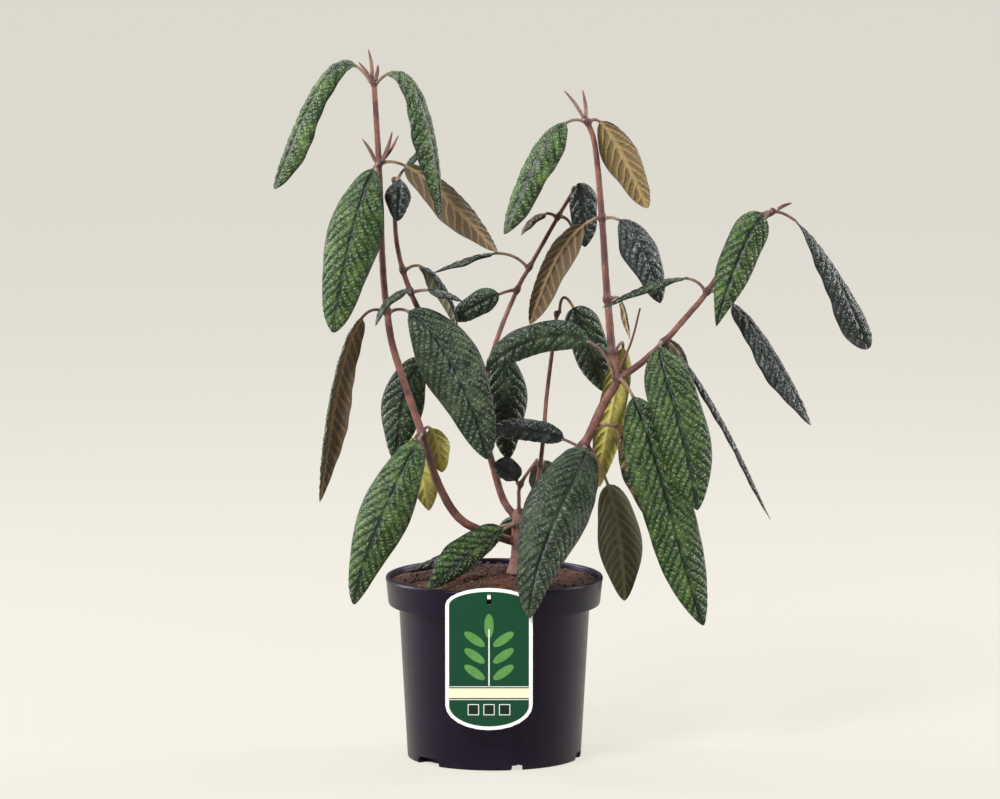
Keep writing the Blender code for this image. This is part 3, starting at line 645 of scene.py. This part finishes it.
def stalk_skin():
    """The leaf stalk's scurfy skin, brown to olive."""
    coat = Coat("leaf_stalk", IOR=1.42, Sheen_Weight=0.2)
    mottle, scurf = coat.noise(120, 4, 0.6), coat.noise(1300, 3, 0.7)
    colour = coat.mix(coat.between(mottle, 0.35, 0.65), (0.095, 0.045, 0.036, 1), (0.200, 0.135, 0.075, 1))
    colour = coat.mix(coat.between(scurf, 0.52, 0.70) * 0.6, colour, (0.300, 0.200, 0.140, 1))
    return coat.finish(colour, 0.7 + 0.2 * scurf, scurf, 0.00035)


UPPER = {
    "deep": leaf_upper("leaf_deep", (0.002, 0.006, 0.003, 1), (0.017, 0.042, 0.012, 1),
                       (0.090, 0.130, 0.060, 1), 0.34),
    "fresh": leaf_upper("leaf_fresh", (0.003, 0.011, 0.002, 1), (0.036, 0.088, 0.013, 1),
                        (0.150, 0.230, 0.060, 1), 0.34),
    # A dull green skin with a bluish glint: painted sheen, standing for light glancing off leaves seen
    # edge-on.
    "sheened_grey": leaf_upper("leaf_sheened_grey", (0.004, 0.007, 0.006, 1), (0.027, 0.040, 0.032, 1),
                       (0.085, 0.082, 0.105, 1), 0.32),
    # Painted light: a pale golden skin that stands for light shining through thin leaves from behind.
    "backlit_yellow": leaf_upper("leaf_backlit_yellow", (0.110, 0.105, 0.012, 1), (0.430, 0.380, 0.045, 1),
                         (0.330, 0.310, 0.055, 1), 0.46),
    "brown": leaf_upper("leaf_brown", (0.024, 0.013, 0.006, 1), (0.125, 0.078, 0.033, 1),
                        (0.070, 0.068, 0.026, 1), 0.46)}
FELT = {
    "tan": leaf_felt("felt_tan", (0.075, 0.046, 0.018, 1), (0.205, 0.133, 0.056, 1),
                     (0.090, 0.078, 0.030, 1)),
    "green": leaf_felt("felt_green", (0.078, 0.076, 0.034, 1), (0.190, 0.168, 0.080, 1),
                       (0.095, 0.098, 0.042, 1)),
    "gold": leaf_felt("felt_gold", (0.140, 0.088, 0.024, 1), (0.340, 0.230, 0.080, 1),
                      (0.130, 0.115, 0.036, 1)),
    # Painted light: a pale golden felt that stands for light shining through thin leaves from behind.
    "backlit_yellow": leaf_felt("felt_backlit_yellow", (0.260, 0.235, 0.035, 1), (0.470, 0.400, 0.095, 1),
                        (0.350, 0.320, 0.070, 1))}
STALK = stalk_skin()


def smooth(t):
    """A smooth step from 0 to 1 as t goes from 0 to 1."""
    t = np.clip(t, 0, 1)
    return t * t * (3 - 2 * t)


def midrib(stem, height, bearing, reach, drop, sets_off, lift, hang, stiff, slack):
    """Points along a leaf's stalk and midrib: one smooth curve from its stem to its tip."""
    place, stem_radius = stem.at(height)
    root = place + direction(sets_off, 0) * (stem_radius + KNOT_WALL * 0.4)
    tip = place + direction(bearing, 0) * reach - UP * drop
    span = (tip - root).length
    grip = root + direction(sets_off, lift) * span * stiff
    droop = tip - direction(bearing, hang) * span * slack
    t = np.linspace(0, 1, 400)[:, None]
    return (np.array(root) * (1 - t) ** 3 + np.array(grip) * 3 * (1 - t) ** 2 * t
            + np.array(droop) * 3 * (1 - t) * t * t + np.array(tip) * t**3)


def along(line, runs, stops):
    """Places at distances along a line, and the line's direction at each."""
    spots, nearby, earlier = (np.stack([np.interp(stops + step, runs, line[:, n]) for n in range(3)], axis=1)
                              for step in (0.0, 0.0006, -0.0006))
    aheads = nearby - earlier
    return spots, aheads / np.linalg.norm(aheads, axis=1)[:, None]


def blistered(u, v, half, blade, seed):
    """A blade's relief at shares u along it and v across it.

    Side veins run out from the midrib in pairs, and cross veins part each strip into blisters.
    Returns each point's rise between the veins, the height of the ribs below, how far it is vein,
    and how far the margin waves there.
    """
    x, y = u[:, None] * blade, np.abs(v) * half
    pitch = blade / round(blade / VEIN_STEP)
    strip = (x - VEIN_SLANT * y - VEIN_BEND * y * y) / pitch
    strip = strip + 0.42 * (v > 0) + 0.08 * np.sin(310 * x + seed + 2 * v)
    panel = np.abs(np.sin(math.pi * strip))
    ladder = (0.74 * x + 0.67 * y) / BEAD_STEP + 0.5 * np.floor(strip)
    ladder = ladder + 0.18 * np.sin(900 * y + 520 * x + seed)
    bead = np.abs(np.sin(math.pi * ladder)) ** 0.5
    away = 1 - np.exp(-((y / MIDRIB_GROOVE) ** 2))
    edge = 1 - np.abs(v) ** 10
    relief = panel**0.45 * (0.30 + 0.70 * bead) * away * edge
    rib = SIDE_RIB_HEIGHT * (1 - panel) ** 4 * edge * np.clip(half / 0.010, 0.1, 1)
    rib = rib + MIDRIB_HEIGHT * np.exp(-((y / 0.0010) ** 2)) * (1 - u[:, None]) ** 0.6
    wave = np.sin(2 * math.pi * x / (pitch * 2.3) + seed) * 0.03 * half * v * v
    return relief, rib, (1 - panel) ** 3 * edge + (1 - away), wave


def leaf(shell, coats, stem, height, bearing, reach, drop, width, sets_off=None, face=None, lift=35,
         hang=-80, stiff=0.35, slack=0.40, petiole=0.014, curl=55, twist=0, broadest=0.42,
         tone="deep", felt="green", age=0.0):
    """Adds a stalked leaf whose tip hangs at a bearing, a reach and a drop from its place on the stem.

    It sets off at one bearing and pitch, lift, and ends at another, hang. Its upper face is turned
    toward the bearing called face. tone and felt choose its two skins.
    """
    sets_off = bearing if sets_off is None else sets_off
    line = midrib(stem, height, bearing, reach, drop, sets_off, lift, hang, stiff, slack)
    runs = np.concatenate([[0], np.cumsum(np.linalg.norm(np.diff(line, axis=0), axis=1))])
    blade = runs[-1] - petiole
    stalk_steps = max(4, int(petiole / 0.0018))
    blade_steps = max(24, int(blade / CELL))
    shares = np.linspace(0, 1, blade_steps + 1)
    shares = 0.004 + 0.993 * (shares - 0.03 * np.sin(2 * math.pi * shares))
    stops = np.concatenate([np.linspace(0, petiole, stalk_steps, endpoint=False), petiole + shares * blade])
    u = np.clip((stops - petiole) / blade, 0, 1)

    # The leaf's own axes along the midrib, kept from spinning and then rolled to face its bearing.
    spots, aheads = along(line, runs, stops)
    side = np.array(direction(sets_off + 90, 0))
    sides, tops = [], []
    for ahead in aheads:
        side = side - ahead * side.dot(ahead)
        side = side / np.linalg.norm(side)
        sides.append(side)
        tops.append(np.cross(ahead, side))
    sides, tops = np.array(sides), np.array(tops)
    roll = 0.0
    if face is not None:
        middle = int(np.searchsorted(stops, petiole + 0.33 * blade))
        toward = np.array(direction(face, 0))
        roll = math.atan2(-toward.dot(sides[middle]), toward.dot(tops[middle]))
    turn = roll * smooth(stops / petiole) + math.radians(twist) * u
    y_axis = sides * np.cos(turn)[:, None] + tops * np.sin(turn)[:, None]
    z_axis = tops * np.cos(turn)[:, None] - sides * np.sin(turn)[:, None]

    # Its outline, then one ring at each stop: across the upper skin and back along the lower one.
    rise_power = LEAF_SHAPE * broadest
    fall_power = LEAF_SHAPE - rise_power
    peak = broadest**rise_power * (1 - broadest) ** fall_power
    half = width / 2 * u**rise_power * (1 - u) ** fall_power / peak
    half = np.maximum(half, 0.0004)[:, None]
    rows = max(8, int(width / CELL / 1.1)) // 2 * 2
    even = np.linspace(-1, 1, rows + 1)
    v_top = np.sin(even * math.pi / 2) * 0.35 + even * 0.65
    v = np.concatenate([v_top, v_top[-2:0:-1]])[None, :]
    above = np.concatenate([np.ones(rows + 1), -np.ones(rows - 1)])[None, :]

    # The relief on both skins, the curl of the margins and the change from stalk to blade.
    seed = (stem.line[0].x * 911 + height * 733 + bearing * 0.37) % 6.28
    relief, rib, vein, wave = blistered(u, v, half, blade, seed)
    swell = RELIEF * np.clip(half / 0.010, 0.15, 1) * relief
    thick = LEAF_SHEET * (1 - 0.75 * v * v)
    raised = np.where(above > 0, swell, swell * 0.9 - thick - rib)
    raised = np.where(np.abs(v) > 0.999, 0.0, raised)
    bend = math.radians(curl)
    bow = bend * v * (1 + 0.10 * np.sin(3.1 * math.pi * u[:, None] + seed))
    across = half * np.sin(bow) / bend
    up = -half * (1 - np.cos(bow)) / bend + wave
    across = across + raised * np.sin(bow)
    up = up + raised * np.cos(bow)
    stalk_wide = PETIOLE_RADIUS * (1 + 0.35 * np.exp(-stops / 0.003))[:, None]
    stalk_up = above * stalk_wide * np.sqrt(np.clip(1 - v * v, 0, 1))
    joined = smooth((stops - petiole) / 0.007)[:, None]
    joined = np.maximum(joined, smooth((half - 0.002) / 0.004))
    across = stalk_wide * v * (1 - joined) + across * joined
    up = stalk_up * (1 - joined) + up * joined
    rings = spots[:, None, :] + y_axis[:, None, :] * across[:, :, None] + z_axis[:, None, :] * up[:, :, None]

    # Each ring is laid the other way round, so that the skins face outward.
    stations, around = rings.shape[:2]
    relief, vein = (np.broadcast_to(mark, (stations, around))[:, ::-1].ravel() for mark in (relief, vein))
    upper, under, stalk = (coats.index(skin) for skin in (UPPER[tone], FELT[felt], STALK))
    blade_skins = [under] * (rows - 1) + [upper] * rows + [under]
    skins = [stalk] * around * stalk_steps + blade_skins * blade_steps + [stalk, upper]
    shell.tube(rings[:, ::-1], skins, relief=relief, vein=vein, age=age)


# Buds: long, naked and felted, each two folded young leaves face to face. They grow in pairs at the
# tips and upper nodes, purple brown with a dusty bloom.
def bud_felt():
    """Purple-brown felt with scurf of a paler brown."""
    coat = Coat("bud_felt", IOR=1.42, Sheen_Weight=0.3)
    scurf, blotch = coat.noise(1200, 3, 0.7), coat.noise(90, 4, 0.6)
    colour = coat.mix(coat.between(blotch, 0.35, 0.65), (0.070, 0.028, 0.026, 1), (0.170, 0.085, 0.060, 1))
    colour = coat.mix(coat.between(scurf, 0.50, 0.70) * 0.6, colour, (0.240, 0.160, 0.115, 1))
    return coat.finish(colour, 0.75 + 0.2 * scurf, scurf, 0.00040)


BUD = bud_felt()
BUD_TIP_RADIUS = 0.0004
BUD_BODY = 0.0028


def bud(shell, coats, stem, height, bearing, pitch, length):
    """Adds one slender bud, creased on both sides where its two leaves meet."""
    place, stem_radius = stem.at(height)
    ahead = direction(bearing, pitch)
    root = place + direction(bearing, 0) * (stem_radius + KNOT_WALL * 0.4)
    side = ahead.orthogonal().normalized()
    across = ahead.cross(side)
    rings = []
    for share in np.linspace(0, 1, 18):
        body = BUD_TIP_RADIUS + BUD_BODY * (share + 0.12) ** 0.35 * (1 - share) ** 0.75
        sway = side * length * 0.05 * math.sin(math.pi * share)
        ring = []
        for n in range(16):
            angle = 2 * math.pi * n / 16
            crease = 1 - 0.22 * math.exp(-((math.sin(angle) / 0.30) ** 2))
            ring.append(root + ahead * length * share + sway
                        + (side * math.cos(angle) * 0.75 + across * math.sin(angle)) * body * crease)
        rings.append(ring)
    shell.tube(rings, coats.index(BUD), relief=0.5, vein=0.5, age=0.0)


def spray(node, stem, leaves, buds=()):
    """One place on a stem: its leaves and buds, made as one piece that stands for the CAD node."""
    coats = [STALK, BUD]
    for shape in leaves:
        for skin in (UPPER[shape.get("tone", "deep")], FELT[shape.get("felt", "green")]):
            if skin not in coats:
                coats.append(skin)
    shell = Shell()
    for shape in leaves:
        leaf(shell, coats, stem, **shape)
    for height, bearing, pitch, length in buds:
        bud(shell, coats, stem, height, bearing, pitch, length)
    shell.made(node + "_leaves", coats, "leaf", [node])


# Left stem's foliage: living leaves and buds in pairs, each pair growing from a swollen node. From
# the tip down there are two hanging leaves with three buds between them, two pairs, and a lower
# spray whose two small leaves wear pale golden skins: painted light, shining through them from behind.
spray("left_tip_spray", left, [
    dict(height=0.594, bearing=165, reach=0.091, drop=0.095, width=0.034, lift=58, stiff=0.50, hang=-65,
         petiole=0.018, face=-150, broadest=0.55, felt="gold", tone="fresh"),
    dict(height=0.594, bearing=-34, reach=0.069, drop=0.114, width=0.038, lift=45, stiff=0.45, slack=0.50,
         hang=-88, face=-28, tone="fresh")],
    [(0.597, 120, 75, 0.026), (0.597, 180, 55, 0.018), (0.597, -60, 72, 0.014)])
spray("left_upper_pair", left, [
    dict(height=0.524, bearing=-128, reach=0.063, drop=0.142, width=0.054, sets_off=-100, lift=10,
         stiff=0.22, face=-100, broadest=0.46, tone="fresh"),
    dict(height=0.524, bearing=3, reach=0.103, drop=0.078, width=0.034, lift=22, stiff=0.22, slack=0.30,
         hang=-45, petiole=0.020, face=60, felt="tan")],
    [(0.526, 180, 60, 0.022), (0.526, 20, 55, 0.026), (0.526, -30, 68, 0.028)])
spray("left_middle_pair", left, [
    dict(height=0.395, bearing=-25, reach=0.096, drop=0.124, width=0.060, lift=30, stiff=0.25, slack=0.30,
         petiole=0.018, face=-80),
    dict(height=0.395, bearing=172, reach=0.060, drop=0.169, width=0.032, lift=25, stiff=0.22, slack=0.30,
         petiole=0.020, face=140, felt="tan")])
spray("left_lower_spray", left, [
    dict(height=0.288, bearing=-139, reach=0.078, drop=0.142, width=0.050, sets_off=-95, lift=0,
         stiff=0.30, slack=0.30, face=-100, tone="fresh"),
    # Painted light: these two small leaves' golden skins stand for light shining through them from behind.
    dict(height=0.288, bearing=77, reach=0.024, drop=0.071, width=0.030, sets_off=120, lift=-10,
         petiole=0.010, face=95, tone="backlit_yellow", felt="backlit_yellow"),
    dict(height=0.290, bearing=64, reach=0.040, drop=0.041, width=0.024, lift=40, petiole=0.014, face=90,
         tone="backlit_yellow", felt="backlit_yellow")])


# Back stem's foliage: a thin shoot behind the left one bears small young leaves near its tip. They
# are leathery like the others, and grow from its nodes on short stalks.
spray("back_tip_spray", back, [
    dict(height=0.508, bearing=-80, reach=0.018, drop=0.034, width=0.026, sets_off=-50, lift=35,
         petiole=0.006, tone="sheened_grey"),
    dict(height=0.508, bearing=22, reach=0.035, drop=-0.024, width=0.012, lift=60, petiole=0.006,
         felt="tan")])
spray("back_upper_leaf", back, [
    dict(height=0.429, bearing=26, reach=0.053, drop=0.054, width=0.028, lift=38, tone="sheened_grey")])
spray("back_middle_pair", back, [
    dict(height=0.410, bearing=-122, reach=0.056, drop=0.024, width=0.014, sets_off=-85, petiole=0.010),
    dict(height=0.410, bearing=-22, reach=0.049, drop=0.006, width=0.018, lift=15, hang=-30,
         tone="sheened_grey")])
spray("back_lower_pair", back, [
    dict(height=0.352, bearing=175, reach=0.043, drop=0.094, width=0.042, lift=-10, face=-90),
    dict(height=0.352, bearing=51, reach=0.040, drop=0.072, width=0.038, lift=30)])


# Centre stem's foliage: small leathery leaves that fan out from its nodes on short stalks. The
# stem forks from the back stem and leans right.
spray("centre_lower_leaf", centre, [
    dict(height=0.343, bearing=3, reach=0.016, drop=0.087, width=0.042, lift=62, stiff=0.42, face=-90)])
spray("centre_middle_leaf", centre, [
    dict(height=0.405, bearing=-165, reach=0.059, drop=0.025, width=0.026, lift=-5, stiff=0.25, hang=-30,
         face=-90)])
spray("centre_upper_leaf", centre, [
    dict(height=0.425, bearing=177, reach=0.086, drop=0.006, width=0.018, lift=52, hang=-25,
         petiole=0.030)])
spray("centre_tip_spray", centre, [
    dict(height=0.493, bearing=-50, reach=0.014, drop=0.050, width=0.030, sets_off=-60, lift=60,
         stiff=0.45, petiole=0.006, face=-100, tone="sheened_grey")])
spray("centre_high_pair", centre, [
    dict(height=0.469, bearing=-170, reach=0.033, drop=0.016, width=0.018, lift=45, petiole=0.008,
         felt="gold", tone="brown"),
    dict(height=0.469, bearing=10, reach=0.015, drop=0.038, width=0.014, lift=-10, petiole=0.012)])


# Right stem's foliage: the strongest shoot bears a pair of buds at its tip and the largest leaves
# at its fork. A few have turned brown before they drop, and the leaf behind the fork wears pale
# golden skins: painted light, shining through it from behind.
spray("right_tip_spray", right, [
    dict(height=0.555, bearing=-156, reach=0.080, drop=0.095, width=0.036, lift=28, stiff=0.30, slack=0.20,
         hang=-60, petiole=0.018, face=-130, tone="fresh"),
    dict(height=0.555, bearing=27, reach=0.060, drop=0.079, width=0.036, lift=45, stiff=0.20, slack=0.15,
         hang=-60, petiole=0.010, face=75, felt="gold", tone="brown")],
    [(0.558, 150, 50, 0.030), (0.558, 100, 55, 0.028)])
spray("right_upper_pair", right, [
    dict(height=0.471, bearing=180, reach=0.063, drop=0.094, width=0.030, lift=-20, stiff=0.30, hang=-70,
         face=110, tone="brown", felt="tan"),
    dict(height=0.471, bearing=-27, reach=0.057, drop=0.072, width=0.038, lift=15, stiff=0.28,
         face=-60, tone="sheened_grey")])
spray("right_middle_leaf", right, [
    dict(height=0.400, bearing=24, reach=0.022, drop=0.037, width=0.012, petiole=0.008, tone="brown",
         felt="gold")])
spray("fork_spray", right, [
    dict(height=0.331, bearing=-168, reach=0.118, drop=-0.009, width=0.034, sets_off=-150, lift=80,
         stiff=0.50, hang=-50, petiole=0.042, face=-90),
    dict(height=0.331, bearing=-34, reach=0.090, drop=0.211, width=0.058, sets_off=-60, lift=-15,
         stiff=0.20, hang=-68, petiole=0.024, face=-80, tone="fresh")])
# Painted light: this leaf's golden skins stand for light shining through it from behind.
spray("fork_back_leaf", right, [
    dict(height=0.354, bearing=111, reach=0.030, drop=0.124, width=0.030, sets_off=40, lift=55,
         petiole=0.018, face=90, tone="backlit_yellow", felt="backlit_yellow")])
spray("right_lower_spray", right, [
    dict(height=0.271, bearing=-110, reach=0.140, drop=0.131, width=0.064, sets_off=-82, lift=5,
         stiff=0.42, hang=-80, face=-90),
    dict(height=0.271, bearing=-167, reach=0.087, drop=-0.017, width=0.026, lift=30, hang=0, curl=70,
         face=-90, tone="sheened_grey"),
    dict(height=0.271, bearing=24, reach=0.040, drop=0.140, width=0.044, lift=-55, hang=-86,
         petiole=0.040, face=90, tone="brown", felt="green")])
spray("right_inner_leaf", right, [
    dict(height=0.288, bearing=8, reach=0.048, drop=0.081, width=0.030, lift=20, face=-50, age=0.8)])


# Right branch's foliage: long narrow leaves that grow from its nodes and reach furthest out. The
# branch leaves the right stem at the fork.
spray("branch_lower_spray", branch, [
    dict(height=0.364, bearing=-63, reach=0.062, drop=0.140, width=0.056, sets_off=-115, lift=20,
         stiff=0.22, face=-90, tone="fresh"),
    dict(height=0.364, bearing=1, reach=0.094, drop=0.157, width=0.020, lift=-38, stiff=0.20, slack=0.20,
         hang=-65, tone="sheened_grey"),
    dict(height=0.364, bearing=75, reach=0.042, drop=0.105, width=0.044, lift=20)])
spray("branch_middle_pair", branch, [
    dict(height=0.410, bearing=-163, reach=0.097, drop=0.011, width=0.018, lift=65, stiff=0.30, hang=-25,
         petiole=0.020),
    dict(height=0.410, bearing=-15, reach=0.093, drop=0.115, width=0.034, lift=-5, stiff=0.20, slack=0.22,
         hang=-60, petiole=0.022, face=-30, tone="sheened_grey")])
spray("branch_tip_spray", branch, [
    dict(height=0.480, bearing=-138, reach=0.067, drop=0.095, width=0.040, sets_off=-118, lift=20,
         stiff=0.28, slack=0.25, hang=-70, face=-90, broadest=0.30, tone="fresh"),
    dict(height=0.480, bearing=8, reach=0.086, drop=0.122, width=0.036, lift=-8, stiff=0.25, slack=0.25,
         hang=-65, petiole=0.018, twist=75, broadest=0.62, tone="sheened_grey", felt="gold")],
    [(0.482, 20, 20, 0.014)])


# Inner foliage: leaves that grow from the thin stem, the small twig and the foot of the trunk.
# Those on the trunk hang low over the pot's rim.
spray("thin_tip_leaf", thin, [
    dict(height=0.385, bearing=11, reach=0.041, drop=0.070, width=0.040, lift=88, stiff=0.62, slack=0.30,
         petiole=0.028, face=-90)])
spray("thin_lower_leaf", thin, [
    dict(height=0.252, bearing=80, reach=0.062, drop=0.055, width=0.036, lift=20)])
spray("inner_leaf", twig, [
    dict(height=0.241, bearing=-172, reach=0.024, drop=-0.018, width=0.024, lift=75, hang=10,
         petiole=0.004, face=-90, tone="sheened_grey")])
spray("trunk_leaves", trunk, [
    dict(height=0.205, bearing=-133, reach=0.116, drop=0.043, width=0.036, lift=-5, stiff=0.22, slack=0.22,
         hang=-25, face=-62, tone="fresh"),
    dict(height=0.205, bearing=-172, reach=0.103, drop=0.040, width=0.026, lift=-10, hang=-15,
         tone="sheened_grey"),
    dict(height=0.205, bearing=95, reach=0.068, drop=0.024, width=0.036, lift=25, hang=-40)])


# Studio: a plain cream floor that fills the view. A small strong light stands in front on the left,
# and softer ones at both sides and above at the back. Colours are shown as they are, untoned.
def floor_paint():
    """Matt cream paint, evened out by a glow of its own."""
    coat = Coat("floor_paint", Emission_Color=(0.87, 0.84, 0.755, 1), Emission_Strength=0.79,
                Specular_IOR_Level=0.0)
    tint = coat.noise(3, 2)
    return coat.finish(coat.mix(tint, (0.095, 0.092, 0.083, 1), (0.100, 0.096, 0.087, 1)), 0.9, tint, 0.0001)


FLOOR_WIDTH = 60
PLANT_MIDDLE = Vector((0, 0, 0.33))
bpy.ops.mesh.primitive_plane_add(size=FLOOR_WIDTH)
floor = bpy.context.object
floor.name = "floor"
floor.data.materials.append(floor_paint())


def soft_light(name, place, wide, tall, power, colour=(1, 1, 1)):
    """A flat lamp of a size in metres and a power in watts, aimed at the plant."""
    lamp = bpy.data.lights.new(name, "AREA")
    lamp.shape = "RECTANGLE"
    lamp.size, lamp.size_y, lamp.energy, lamp.color = wide, tall, power, colour
    made = bpy.data.objects.new(name, lamp)
    made.location = place
    made.rotation_euler = (PLANT_MIDDLE - Vector(place)).to_track_quat("-Z", "Y").to_euler()
    bpy.context.scene.collection.objects.link(made)


WARM_WHITE = (1.0, 0.98, 0.95)
soft_light("key_light", (-1.3, -2.2, 2.4), 0.8, 0.8, 165)
soft_light("left_light", (-1.9, 0.7, 0.9), 0.4, 2.2, 60, WARM_WHITE)
soft_light("right_light", (1.9, 0.7, 0.9), 0.4, 2.2, 60, WARM_WHITE)
soft_light("top_light", (0.3, 1.4, 2.4), 1.6, 1.0, 36)
room = bpy.data.worlds.new("room")
room.use_nodes = True
sky = room.node_tree.nodes["Background"]
sky.inputs["Color"].default_value = (0.95, 0.93, 0.89, 1)
sky.inputs["Strength"].default_value = 0.30
bpy.context.scene.world = room
bpy.context.scene.view_settings.view_transform = "Standard"
